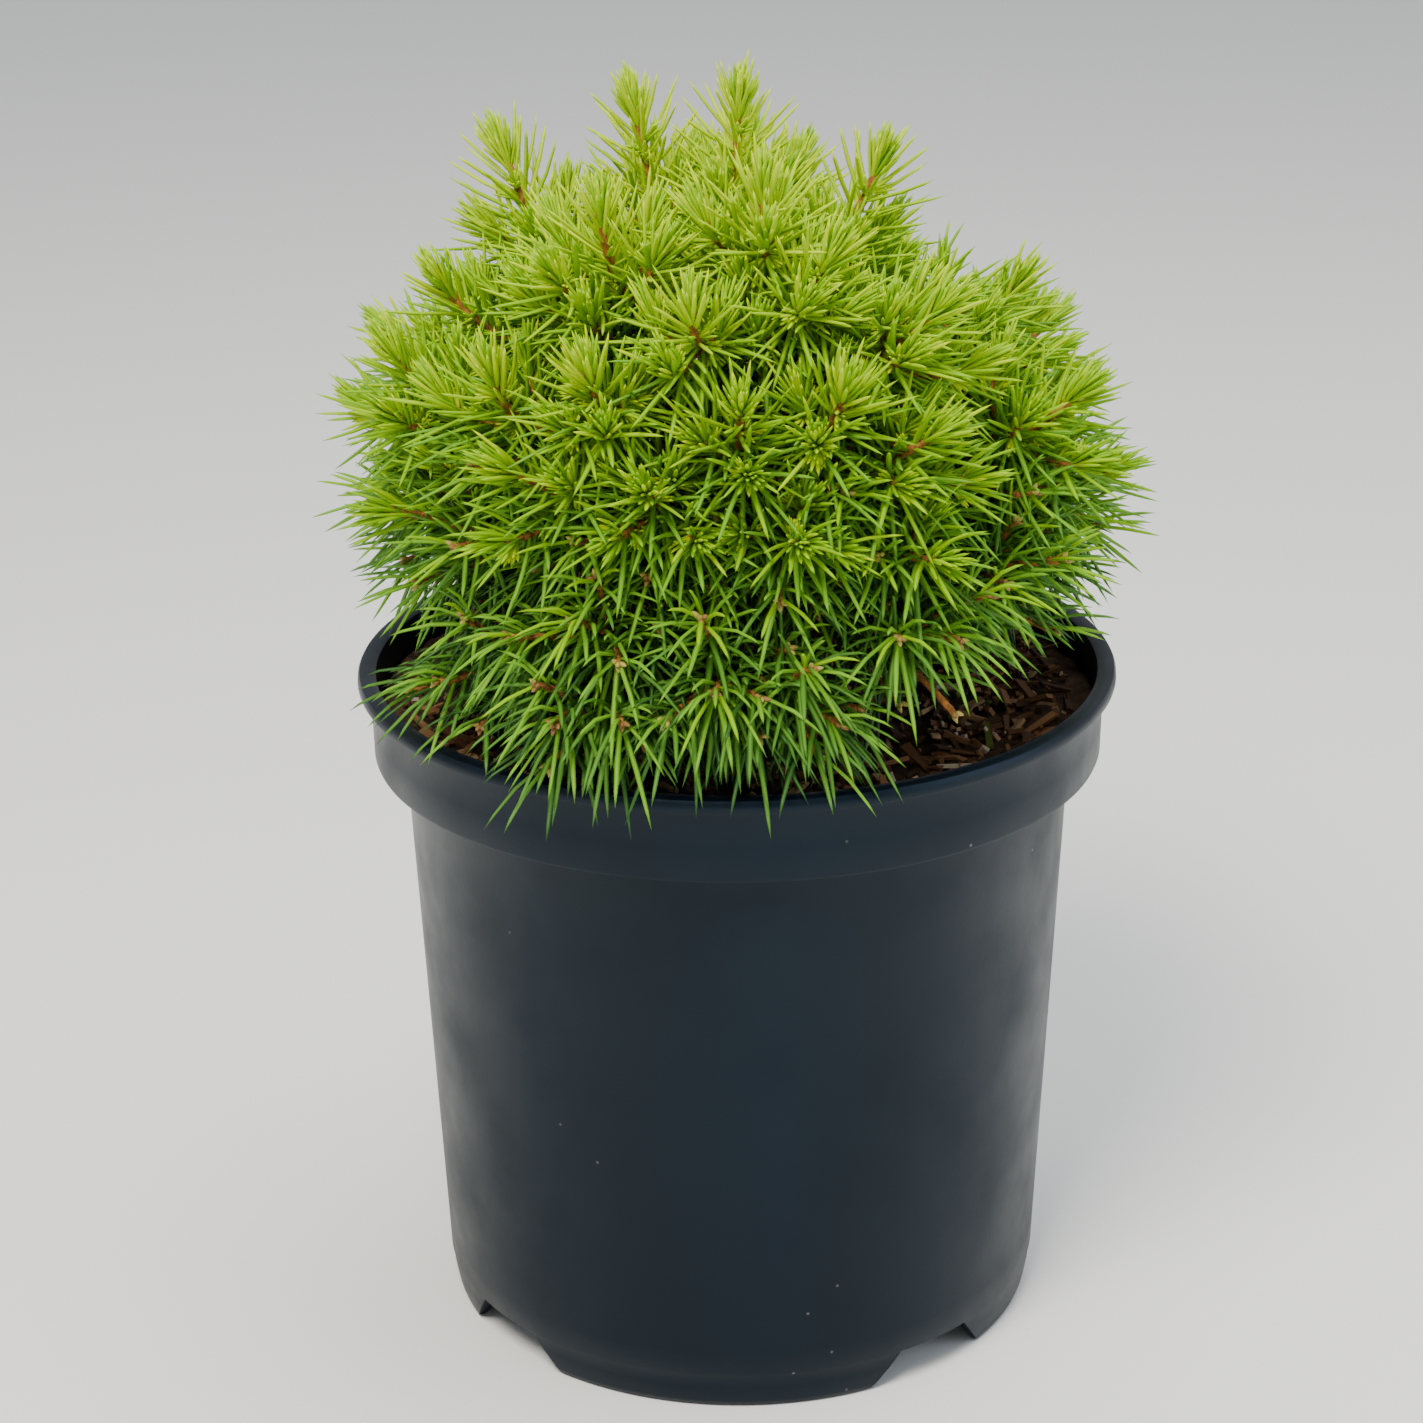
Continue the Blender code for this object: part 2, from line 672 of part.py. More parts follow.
def side_shoots(index, stem, space, attempt):
    """The side shoots of a mass, spread round its leader by a seeded rule. One that would leave
    the mass's space is drawn in closer, and skipped if it still doesn't fit."""
    mass = MASSES[index]
    habit = HABITS[mass.habit]
    rng = random.Random(SEED * 1000 + index + attempt * len(MASSES))
    across = stem.tip_way.orthogonal().normalized()
    length = stem.length()
    found = []
    for k in range(habit.count):
        roll = math.radians(mass.roll + 360.0 * k / habit.count + rng.uniform(-14, 14))
        size = rng.uniform(0.85, 1.15)
        out = Matrix.Rotation(roll, 3, stem.tip_way) @ across
        for shrink in SHRINK_STEPS:
            spread = habit.spread * size * shrink
            back = min((habit.drop + spread * 1.1) / length, 0.8)
            root, way = stem.at(1.0 - back)
            fork = math.radians(FORK_ANGLE)
            start_way = (way * math.cos(fork) + out * math.sin(fork)).normalized()
            tip = stem.tip - stem.tip_way * habit.drop * size + out * spread
            tip_way = (stem.tip_way + out * 0.55).normalized()
            seat = Ring(root, start_way, STEM_RADIUS_TIP * 0.7)
            shoot = Limb(seat, start_way, tip, tip_way, STEM_RADIUS_TIP * 0.9)
            reach = shoot.samples(4, NEEDLE_LENGTH * 0.5)[2:]
            if all(space.holds(index, point, STEM_RADIUS_TIP) for point in reach):
                found.append(shoot)
                break
    return found


def needled_shoot(name, rings, sides, first, mates, index, space, rng):
    """A closed slim core through the rings. Past the first rings each of its faces is drawn out
    to a needle that leans forward, but one that would leave the space or touch the mass's other
    shoots stays flat. The needles join the mass's own shoots that later ones keep clear of."""
    droop = HABITS[MASSES[index].habit].droop
    needles = []
    vertices, faces = [], []
    pairs = list(frames(rings))
    twist = math.radians(RING_TWIST)
    for row, (ring, pair) in enumerate(zip(rings, pairs)):
        vertices += ring_points(ring, pair, sides, row * twist)
    rows = len(rings) - 1
    for row in range(rows):
        share = (row - first + 0.5) / (rows - first)
        middle = (rings[row].centre + rings[row + 1].centre) / 2
        way = rings[row + 1].normal
        for k in range(sides):
            low, high = row * sides, (row + 1) * sides
            corners = (low + k, low + (k + 1) % sides, high + (k + 1) % sides, high + k)
            length = NEEDLE_LENGTH * rng.uniform(0.85, 1.12)
            lean = math.radians(
                mix(NEEDLE_ANGLE_LOW, NEEDLE_ANGLE_HIGH, share) + rng.uniform(-6, 6)
            )
            flat = [corners[:3], (corners[0], corners[2], corners[3])]
            if row < first:
                faces += flat
                continue
            centre = sum((vertices[c] for c in corners), Vector()) / 4
            out = centre - middle
            out = (out - way * out.dot(way)).normalized()
            needle_way = way * math.cos(lean) + out * math.sin(lean)
            needle_way = (needle_way - Vector((0.0, 0.0, droop))).normalized()
            tip = centre + needle_way * length
            points = [centre.lerp(tip, part) for part in (0.3, 0.5, 0.75, 1.0)]
            if all(space.holds(index, point, GAP) for point in points) and all(
                distances(point, *mate).min() > MATE_CLEARANCE for point in points for mate in mates
            ):
                apex = len(vertices)
                vertices.append(tip)
                faces += [(corners[j], corners[(j + 1) % 4], apex) for j in range(4)]
                needles.append(polyline([centre, tip]))
            else:
                faces += flat
    faces.append(tuple(range(sides - 1, -1, -1)))
    last = rows * sides
    apex = len(vertices)
    vertices.append(rings[-1].centre + rings[-1].normal * NEEDLE_LENGTH * 0.6)
    faces += [(last + k, last + (k + 1) % sides, apex) for k in range(sides)]
    mates += needles
    return mesh_of(name, vertices, faces)


def make_mass(index, stem, space, material, attempt=0):
    """One mass as one closed solid. Where its needles meet badly, they are drawn anew."""
    mass = MASSES[index]
    rng = random.Random(SEED * 2000 + index + attempt * len(MASSES))
    bare = max(1.0 - NEEDLED_LENGTH / stem.length(), 0.3)
    shares = [bare * 0.5] + [mix(bare, 1.0, k / (LEADER_RINGS - 3)) for k in range(LEADER_RINGS - 2)]
    rings = stem.rings(shares)
    shoots = side_shoots(index, stem, space, attempt)
    lines = [polyline(shoot.samples(6)) for shoot in shoots]
    needles = list(lines)
    mesh = needled_shoot(mass.name, rings, LEADER_SIDES, 2, needles, index, space, rng)
    leader = add_object(mass.name, mesh, material)
    needles = needles[len(lines) :] + [polyline(stem.samples(8))]
    joined = []
    for number, shoot in enumerate(shoots):
        mates = needles + lines[:number] + lines[number + 1 :]
        known = len(mates)
        rings = shoot.rings([mix(0.3, 1.0, k / (SIDE_RINGS - 2)) for k in range(SIDE_RINGS - 1)])
        mesh = needled_shoot("shoot", rings, SIDE_SIDES, 1, mates, index, space, rng)
        needles += mates[known:]
        joined.append(add_object("shoot", mesh, material))
    if joined and not combine(leader, joined, "UNION") and attempt < MOST_ATTEMPTS:
        bpy.data.objects.remove(leader, do_unlink=True)
        make_mass(index, stem, space, material, attempt + 1)


def centre_on_ground():
    """Moves every object so that the origin lies under the middle of the box round them all."""
    points = [vertex.co for thing in bpy.data.objects for vertex in thing.data.vertices]
    middle = Vector((0.0, 0.0, 0.0))
    for axis in (0, 1):
        places = [point[axis] for point in points]
        middle[axis] = (min(places) + max(places)) / 2
    for thing in bpy.data.objects:
        thing.location = -middle


def main():
    remove_scene_objects()
    black_plastic = finish("black_plastic", (0.012, 0.016, 0.022), 0.42)
    bark_compost = finish("bark_compost", (0.06, 0.035, 0.02), 0.95)
    brown_bark = finish("brown_bark", (0.16, 0.085, 0.045), 0.85)
    green_needles = finish("green_needles", (0.22, 0.42, 0.05), 0.55)
    make_pot(black_plastic)
    make_soil(bark_compost)
    make_trunk(brown_bark)
    boughs = {name: make_bough_limb(name) for name in BOUGHS}
    for name, bough in boughs.items():
        shares = [0.08 + 0.92 * k / (BOUGH_RINGS - 2) for k in range(BOUGH_RINGS - 1)]
        mesh = tube(name, bough.rings(shares), BOUGH_SIDES)
        mesh.shade_smooth()
        mesh.set_sharp_from_angle(angle=math.radians(50))
        add_object(name, mesh, brown_bark)
    stems = [make_stem_limb(mass, boughs) for mass in MASSES]
    space = Space(boughs.values(), stems)
    for index, stem in enumerate(stems):
        make_mass(index, stem, space, green_needles)
    centre_on_ground()


main()
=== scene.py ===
"""Dwarf globe spruce in a round nursery pot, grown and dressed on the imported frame.

Metres, Z up. The shapes are worked out round the pot's axis and then moved to where the frame
has the pot. A heading is an angle round the pot: 0 is the front (-Y), 90 the right (+X).
"""

import math
import random
from collections import namedtuple
from functools import partial

import bmesh
import bpy
import numpy as np
from bpy.props import FloatProperty, FloatVectorProperty, IntProperty, PointerProperty
from mathutils import Matrix, Vector, noise


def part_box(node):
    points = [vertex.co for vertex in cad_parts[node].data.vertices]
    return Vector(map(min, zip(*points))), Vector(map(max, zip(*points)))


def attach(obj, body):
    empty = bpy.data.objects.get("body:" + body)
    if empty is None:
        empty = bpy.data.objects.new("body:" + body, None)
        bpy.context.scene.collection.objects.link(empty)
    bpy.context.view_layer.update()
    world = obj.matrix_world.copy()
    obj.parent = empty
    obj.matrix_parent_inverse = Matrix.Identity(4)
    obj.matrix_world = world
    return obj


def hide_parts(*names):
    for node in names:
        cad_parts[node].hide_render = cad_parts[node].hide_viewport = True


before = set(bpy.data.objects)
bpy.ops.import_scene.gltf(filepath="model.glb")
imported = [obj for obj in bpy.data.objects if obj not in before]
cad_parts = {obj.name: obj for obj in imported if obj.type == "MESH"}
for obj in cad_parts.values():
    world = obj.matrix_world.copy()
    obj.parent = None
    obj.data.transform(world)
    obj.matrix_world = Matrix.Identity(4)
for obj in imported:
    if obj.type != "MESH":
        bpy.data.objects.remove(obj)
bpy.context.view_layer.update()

bl_info = {
    "name": "Potted globe spruce",
    "version": (1, 0, 0),
    "blender": (4, 5, 0),
    "location": "3D View > Sidebar > Spruce",
    "description": "Grows a dwarf globe spruce in its nursery pot, with its soil, bark and stage",
    "category": "Object",
}

MM = 0.001
GAP = 0.3 * MM
BODY = "root"
POT_LOW, POT_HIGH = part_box("pot")
POT_AXIS = Vector(((POT_LOW[0] + POT_HIGH[0]) / 2, (POT_LOW[1] + POT_HIGH[1]) / 2, 0.0))
GOLDEN_ANGLE = math.radians(137.508)
UP = Vector((0.0, 0.0, 1.0))
HANDLE_SHARE = 0.36

# Pot
POT_HEIGHT = 153.3 * MM
LIP_RADIUS = 85.0 * MM
LIP_HEIGHT = 3.0 * MM
BAND_RADIUS_TOP = 82.3 * MM
BAND_RADIUS_BOTTOM = 81.9 * MM
BAND_BOTTOM = 133.5 * MM
BODY_RADIUS_TOP = 75.0 * MM
BODY_RADIUS_BOTTOM = 69.6 * MM
BODY_BOTTOM = 15.0 * MM
FOOT_RADIUS = 67.0 * MM
WALL = 1.6 * MM
BASE_UNDERSIDE = 8.7 * MM
BASE_THICKNESS = 2.2 * MM
FOOT_COUNT = 4
FOOT_HEADING = -6.0
NOTCH_TOP_WIDTH = 19.0 * MM
NOTCH_GROUND_WIDTH = 33.0 * MM
NOTCH_IN, NOTCH_OUT, NOTCH_BELOW = 6.0 * MM, 8.0 * MM, -4.0 * MM
DRAIN_COUNT = 8
DRAIN_DIAMETER = 9.0 * MM
DRAIN_REACH = 50.0 * MM

# Soil
SOIL_TOP = 144.7 * MM
SOIL_RELIEF = 1.2 * MM
SOIL_FLAT_RADIUS = 14.0 * MM
SOIL_SIDES, SOIL_ROUNDS = 220, 70

# Trunk
TRUNK_TOP = 232.0 * MM
TRUNK_RADIUS_BASE = 5.2 * MM
TRUNK_RADIUS_TOP = 2.1 * MM
TRUNK_LEAN = Vector((2.5, 4.0, 0.0)) * MM
FLARE_RADIUS = 3.6 * MM
FLARE_HEIGHT = 7.0 * MM
FLARE_ROOTS = 5
TRUNK_ROWS, TRUNK_SIDES = 90, 40

# Boughs
BOUGH_RADIUS_ROOT_LOW = 3.0 * MM
BOUGH_RADIUS_ROOT_HIGH = 2.1 * MM
BOUGH_RADIUS_TIP = 1.6 * MM
BOUGH_SHARE = 0.5
BOUGH_ROOT_LIFT = 28.0
FORK_STEP = 4.5 * MM
BOUGH_ROWS, BOUGH_SIDES = 36, 16

# Crown: the tips of most leading shoots lie on a dome
DOME_RADIUS = 81.0 * MM
DOME_MIDDLE = 188.0 * MM
DOME_RISE = 92.0 * MM
DOME_POWER = 2.4

# Shoots
STEM_RADIUS_ROOT = 1.25 * MM
STEM_RADIUS_TIP = 0.8 * MM
FORK_ANGLE = 45.0
BARE_HEADINGS = (27.0, 74.0)
BARE_HEIGHT = 168.0 * MM
SPACE_MARGIN = 0.8 * MM
TIP_REACH = 11.0 * MM
SHRINK_STEPS = (1.0, 0.8, 0.62, 0.46)
LOWEST_FORK = 0.8
FORK_RUN = 1.1
TIP_SPLAY = 0.55
TWIG_ROWS = {"leader": 26, "side": 16, "finer": 16}
TWIG_SIDES = 8
MOST_NEEDLES = 6500

# A round of side shoots: how far out they reach, how far below the leader they end, their number
# and the turn of the first. The finer rounds lie lower down, between those of the round above.
Round = namedtuple("Round", "spread drop count turn")
Habit = namedtuple("Habit", "droop side finer")
HABITS = {
    "spire": Habit(
        0.0,
        Round(10.0 * MM, 17.0 * MM, 3, 0.0),
        (Round(11.0 * MM, 30.0 * MM, 3, 60.0), Round(13.0 * MM, 42.0 * MM, 3, 0.0)),
    ),
    "dome": Habit(
        0.0,
        Round(15.0 * MM, 8.0 * MM, 4, 0.0),
        (Round(17.0 * MM, 20.0 * MM, 4, 45.0), Round(14.0 * MM, 32.0 * MM, 3, 0.0)),
    ),
    "skirt": Habit(
        0.25,
        Round(15.0 * MM, 3.0 * MM, 3, 0.0),
        (Round(17.0 * MM, 14.0 * MM, 4, 60.0), Round(14.0 * MM, 27.0 * MM, 3, 0.0)),
    ),
}

# How a kind of side shoot is drawn: its own seed, how far it turns at random, its smallest size,
# how far down the stem it may lie and how clear of other masses it keeps; then the share of it
# that bears needles, how much less light it gets and how much more its needles droop
Rule = namedtuple("Rule", "kind seed jitter smallest deepest margin needled shade droop")
SIDE_RULE = Rule("side", 1000, 14.0, 0.85, 1.0, SPACE_MARGIN, 0.94, 0.0, 0.0)
# The finer shoots' lesser light gives their needles darker tones: painted shade deep in the crown
FINER_RULE = Rule("finer", 3000, 18.0, 0.8, 0.62, -3.0 * MM, 0.9, 0.12, 0.05)
LARGEST_SHOOT = 1.15
FINER_REACH = 4.0 * MM
LEADER_NEEDLED = 0.8

# Light in the crown: where it starts, how high it takes to grow full on a shoot and on the
# crown's outside, what each of the two gives, and how far out there is none for the outside
LIGHT_FLOOR = 150.0 * MM
LIGHT_HEIGHT = 130.0 * MM
OUTSIDE_HEIGHT = 115.0 * MM
LEVEL_LIGHT = 0.92
OUTSIDE_LIGHT = 0.3
DULL_OUTSIDE = 0.7

# Each bough: its name and the height at which it leaves the trunk
BOUGHS = {
    "bough_high_right": 211.0 * MM,
    "bough_front_high": 206.0 * MM,
    "bough_high_left": 201.0 * MM,
    "bough_front_right_high": 198.0 * MM,
    "bough_front_left_high": 190.0 * MM,
    "bough_back": 190.0 * MM,
    "bough_right_mid": 188.0 * MM,
    "bough_front_mid": 182.0 * MM,
    "bough_left_mid": 179.0 * MM,
    "bough_right_front": 175.0 * MM,
    "bough_right_back": 173.0 * MM,
    "bough_left_back": 170.0 * MM,
    "bough_left_front_low": 165.5 * MM,
    "bough_right_low": 164.0 * MM,
    "bough_front_low": 157.0 * MM,
}

# The masses of each bough, of the trunk's tip, or of a stem that leaves the trunk at a height in
# mm: the name, the habit, the leading tip's heading, height and reach in mm (None on the dome),
# its lift above level, how far it leans round from its heading, and its first side shoot's turn
Mass = namedtuple("Mass", "name limb habit heading height reach lift lean roll")
TRUNK_TIP = "trunk_tip"
MASSES = tuple(
    Mass("foliage_" + name, limb, *rest)
    for limb, rows in (
        (TRUNK_TIP, (
            ("spire_top", "spire", 40, 277, 2, 86, 0, 90),
        )),
        (221, (
            ("spire_middle", "spire", -116, 274, 23, 77, 20, 60),
        )),
        ("bough_high_left", (
            ("spire_left", "spire", -96, 266, 49, 69, 4, 0),
            ("shoulder_left", "dome", -74, 243, 63, 60, 0, 40),
        )),
        ("bough_back", (
            ("back_high", "dome", 176, 260, 46, 66, 0, 0),
        )),
        ("bough_high_right", (
            ("spire_right", "spire", 80, 265, 31, 72, 0, 110),
            ("shoulder_right_back", "dome", 84, 238, 60, 58, 0, 20),
        )),
        ("bough_front_left_high", (
            ("leader_left", "dome", -33, 263, 49, 82, 10, 90),
            ("left_front", "dome", -41, 234, None, 68, 10, 30),
            ("mid_left", "dome", -23, 237, None, 68, -10, 60),
        )),
        ("bough_front_high", (
            ("leader_centre", "dome", 8, 268, 44, 84, 0, 45),
            ("mid_centre_upper", "dome", -7, 249, 67, 74, 0, 0),
        )),
        ("bough_front_right_high", (
            ("leader_right", "dome", 19, 257, 58, 60, 45, 30),
            ("shoulder_right", "dome", 37, 246, 68, 46, 30, 60),
            ("mid_right", "dome", 17, 234, None, 56, 5, 20),
        )),
        ("bough_left_mid", (
            ("flank_left", "dome", -68, 230, None, 58, -10, 30),
            ("back_left_mid", "dome", -106, 222, None, 38, 0, 0),
        )),
        ("bough_front_mid", (
            ("mid_centre", "dome", 1, 232, None, 46, 0, 45),
            ("mid_low", "dome", -13, 216, None, 28, 0, 90),
            ("centre_low", "dome", 9, 206, None, 14, 0, 20),
        )),
        ("bough_right_mid", (
            ("flank_right", "dome", 66, 222, None, 45, 5, 30),
            ("far_right", "dome", 80, 200, None, 24, 0, 60),
        )),
        ("bough_back", (
            ("back_mid_left", "dome", -150, 228, None, 42, 0, 40),
            ("back_mid_right", "dome", 158, 228, None, 42, 0, 10),
        )),
        ("bough_left_back", (
            ("left_back_low", "dome", -96, 189, None, 4, 0, 45),
            ("back_low_left", "dome", -138, 190, None, 8, 0, 0),
            ("back_low", "dome", -178, 190, None, 10, 0, 30),
        )),
        ("bough_right_back", (
            ("back_right_mid", "dome", 116, 220, None, 38, 0, 60),
            ("back_low_right", "dome", 142, 188, None, 8, 0, 45),
            ("right_back_low", "dome", 104, 184, None, 8, 0, 0),
        )),
        ("bough_right_front", (
            ("right_upper", "dome", 31, 224, None, 34, 20, 90),
            ("right_low_front", "dome", 30, 199, None, 14, 0, 30),
            ("right_low", "dome", 58, 190, None, 16, 0, 60),
        )),
        ("bough_left_front_low", (
            ("lower_left", "dome", -35, 217, None, 30, -24, 60),
            ("left_low", "dome", -62, 200, None, 12, -6, 30),
            ("skirt_left", "skirt", -52, 166, None, 4, 0, 0),
        )),
        ("bough_front_low", (
            ("skirt_left_upper", "skirt", -24, 188, None, 18, 0, 90),
            ("skirt_left_front", "skirt", -25, 168, 87, -4, 0, 30),
            ("skirt_centre", "skirt", -3, 176, 84, 6, 0, 0),
        )),
        ("bough_right_low", (
            ("skirt_right_centre", "skirt", 15, 167, 80, -4, 34, 90),
            ("skirt_right", "skirt", 34, 181, None, 2, 0, 60),
        )),
    )
    for name, *rest in rows
)

Ring = namedtuple("Ring", "centre normal radius")


# Settings


class PotSettings(bpy.types.PropertyGroup):
    """Sizes and colour of the pot."""

    height: FloatProperty(
        name="Pot height", description="From the ground to the lip", default=POT_HEIGHT,
        unit="LENGTH",
    )
    lip_radius: FloatProperty(
        name="Lip radius", description="Outer radius of the lip", default=LIP_RADIUS,
        unit="LENGTH",
    )
    sides: IntProperty(
        name="Sides", description="Faces round the pot", default=256, min=24
    )
    # The plastic's blue tint is partly its own colour and partly painted reflection of the sky
    colour: FloatVectorProperty(
        name="Plastic", description="Colour of the black plastic", subtype="COLOR",
        default=(0.0012, 0.0032, 0.0075), min=0.0, max=1.0,
    )
    roughness: FloatProperty(
        name="Roughness", description="Roughness of the plastic", default=0.4, min=0.0, max=1.0
    )


class SoilSettings(bpy.types.PropertyGroup):
    """The compost and the bark chips on it."""

    chips: IntProperty(
        name="Bark chips", description="Number of bark chips on the soil", default=760, min=0
    )
    crumbs: IntProperty(
        name="Crumbs", description="Number of crumbs of peat", default=1500, min=0
    )
    colour: FloatVectorProperty(
        name="Compost", description="Colour of the compost", subtype="COLOR",
        default=(0.035, 0.017, 0.009), min=0.0, max=1.0,
    )


class CrownSettings(bpy.types.PropertyGroup):
    """Growth of the shoots and needles."""

    seed: IntProperty(
        name="Seed", description="Seed of the growing rule", default=27, min=0
    )
    needle_length: FloatProperty(
        name="Needle length", description="Usual length of a needle", default=0.0165, unit="LENGTH"
    )
    needle_width: FloatProperty(
        name="Needle width", description="Width of a needle", default=0.00116, unit="LENGTH"
    )
    needle_pitch: FloatProperty(
        name="Needle pitch", description="Length of twig for each needle", default=0.0006,
        unit="LENGTH", precision=5,
    )
    needled_length: FloatProperty(
        name="Needled length", description="Length of a shoot that bears needles",
        default=0.036, unit="LENGTH",
    )
    bark: FloatVectorProperty(
        name="Bark", description="Colour of the trunk's bark", subtype="COLOR",
        default=(0.12, 0.062, 0.032), min=0.0, max=1.0,
    )
    twig: FloatVectorProperty(
        name="Twig", description="Colour of the young twigs", subtype="COLOR",
        default=(0.33, 0.125, 0.03), min=0.0, max=1.0,
    )


class StageSettings(bpy.types.PropertyGroup):
    """Camera, light and floor."""

    camera_distance: FloatProperty(
        name="Camera distance", description="Level distance from the pot's axis",
        default=0.71795, unit="LENGTH",
    )
    camera_height: FloatProperty(
        name="Camera height", description="Height above the ground", default=0.41833, unit="LENGTH"
    )
    camera_pitch: FloatProperty(
        name="Camera pitch", description="How far the camera looks down",
        default=0.370, subtype="ANGLE",
    )
    camera_yaw: FloatProperty(
        name="Camera yaw", description="How far the camera turns left", default=0.008,
        subtype="ANGLE",
    )
    camera_roll: FloatProperty(
        name="Camera roll", description="How far the camera tips over", default=-0.011,
        subtype="ANGLE",
    )
    lens: FloatProperty(
        name="Lens", description="Focal length for a 36 mm wide sensor", default=86.02
    )


# Materials


# The blue of the plastic's glints: painted reflection of a blue sky
GLINT_COLOUR = (0.62, 0.84, 1.0, 1.0)
DUST_COLOUR = (0.42, 0.4, 0.36, 1.0)


def set_values(made, values):
    """Sets a node's inputs, or its own settings where it has no such input."""
    for key, value in values.items():
        if key in made.inputs:
            made.inputs[key].default_value = value
        else:
            setattr(made, key, value)
    return made


def shader_of(material):
    return material.node_tree.nodes["Principled BSDF"]


def plain_material(name, colour, roughness, specular=0.5):
    """A plain material of one colour."""
    material = bpy.data.materials.new(name)
    material.use_nodes = True
    values = {"Base Color": (*colour, 1.0), "Roughness": roughness, "Specular IOR Level": specular}
    set_values(shader_of(material), values)
    return material


def node(material, kind, **values):
    return set_values(material.node_tree.nodes.new(kind), values)


def link(material, source, target):
    material.node_tree.links.new(source, target)


def noise_texture(material, place, scale, detail=4.0, roughness=0.55):
    texture = node(material, "ShaderNodeTexNoise", Scale=scale, Detail=detail, Roughness=roughness)
    link(material, place, texture.inputs["Vector"])
    return texture.outputs["Fac"]


def ramp(material, source, stops):
    """A colour ramp from a list of (place, colour)."""
    made = node(material, "ShaderNodeValToRGB")
    steps = made.color_ramp.elements
    while len(steps) < len(stops):
        steps.new(0.5)
    for step, (at, colour) in zip(steps, stops):
        step.position = at
        step.color = (*colour, 1.0)
    link(material, source, made.inputs["Fac"])
    return made.outputs["Color"]


def grey(value):
    return (value, value, value)


def scaled(colour, factor):
    return tuple(min(1.0, part * factor) for part in colour)


def bump(material, source, strength, distance, before=None):
    made = node(material, "ShaderNodeBump", Strength=strength, Distance=distance)
    link(material, source, made.inputs["Height"])
    if before:
        link(material, before, made.inputs["Normal"])
    return made.outputs["Normal"]


def object_place(material, stretch=None):
    place = node(material, "ShaderNodeTexCoord").outputs["Object"]
    if stretch is None:
        return place
    mapping = node(material, "ShaderNodeMapping", Scale=stretch)
    link(material, place, mapping.inputs["Vector"])
    return mapping.outputs["Vector"]


def plastic_material(settings):
    """Semi-gloss black plastic with soft bands, smudges and small specks of dust."""
    material = plain_material("black_plastic_moulded", settings.colour, settings.roughness, 0.24)
    shader = shader_of(material)
    # Painted reflection: the glints are tinted sky blue
    shader.inputs["Specular Tint"].default_value = GLINT_COLOUR
    colour = tuple(settings.colour)
    place = object_place(material)
    bands = noise_texture(material, object_place(material, (26.0, 26.0, 2.0)), 1.0, 2.0)
    smudges = noise_texture(material, place, 34.0, 5.0)
    blotches = ramp(material, bands, ((0.3, scaled(colour, 0.78)), (0.72, scaled(colour, 1.3))))
    specks = node(material, "ShaderNodeTexVoronoi", Scale=190.0)
    link(material, place, specks.inputs["Vector"])
    spots = ramp(material, specks.outputs["Distance"], ((0.0, grey(1.0)), (0.085, grey(0.0))))
    scatter = noise_texture(material, place, 85.0, 2.0)
    sparse = ramp(material, scatter, ((0.62, grey(0.0)), (0.68, grey(0.5))))
    where = node(material, "ShaderNodeMath", operation="MULTIPLY")
    link(material, spots, where.inputs[0])
    link(material, sparse, where.inputs[1])
    dusty = node(material, "ShaderNodeMix", data_type="RGBA")
    link(material, where.outputs[0], dusty.inputs[0])
    link(material, blotches, dusty.inputs[6])
    dusty.inputs[7].default_value = DUST_COLOUR
    link(material, dusty.outputs[2], shader.inputs["Base Color"])
    worn = ramp(
        material,
        smudges,
        ((0.35, grey(settings.roughness - 0.07)), (0.7, grey(settings.roughness + 0.12))),
    )
    link(material, worn, shader.inputs["Roughness"])
    ripple = bump(material, bands, 0.25, 0.4 * MM)
    grain = noise_texture(material, place, 900.0, 2.0)
    link(material, bump(material, grain, 0.12, 0.15 * MM, ripple), shader.inputs["Normal"])
    return material


def compost_material(settings):
    """Dark crumbly compost."""
    material = plain_material("bark_compost_loose", settings.colour, 0.95, 0.25)
    shader = shader_of(material)
    colour = tuple(settings.colour)
    place = object_place(material)
    clods = noise_texture(material, place, 260.0, 6.0, 0.65)
    shades = ramp(
        material,
        clods,
        (
            (0.3, scaled(colour, 0.35)),
            (0.5, colour),
            (0.66, scaled(colour, 2.2)),
            (0.78, (0.13, 0.085, 0.05)),
        ),
    )
    link(material, shades, shader.inputs["Base Color"])
    link(material, bump(material, clods, 0.9, 1.2 * MM), shader.inputs["Normal"])
    return material


def bark_material(name, colour, scale):
    """Rough bark with lighter flakes and darker cracks, drawn out along the limb."""
    material = plain_material(name, colour, 0.85, 0.3)
    shader = shader_of(material)
    colour = tuple(colour)
    flakes = noise_texture(material, object_place(material, (1.0, 1.0, 0.45)), scale, 6.0, 0.62)
    shades = ramp(
        material,
        flakes,
        ((0.32, scaled(colour, 0.35)), (0.5, colour), (0.68, scaled(colour, 1.9))),
    )
    link(material, shades, shader.inputs["Base Color"])
    link(material, bump(material, flakes, 0.7, 0.6 * MM), shader.inputs["Normal"])
    return material


# Pieces


def add_piece(name, mesh, replaced):
    """Puts a mesh in the scene as a piece that rides with the plant."""
    mesh.transform(Matrix.Translation(POT_AXIS))
    thing = bpy.data.objects.new(name, mesh)
    bpy.context.scene.collection.objects.link(thing)
    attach(thing, BODY)
    if replaced:
        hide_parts(*replaced)
    return thing


def mesh_of(name, vertices, faces, material=None):
    """A mesh from lists of points and faces, smooth where it has a material."""
    mesh = bpy.data.meshes.new(name)
    mesh.from_pydata([tuple(v) for v in vertices], [], faces)
    mesh.update()
    if material:
        mesh.materials.append(material)
        mesh.shade_smooth()
    return mesh


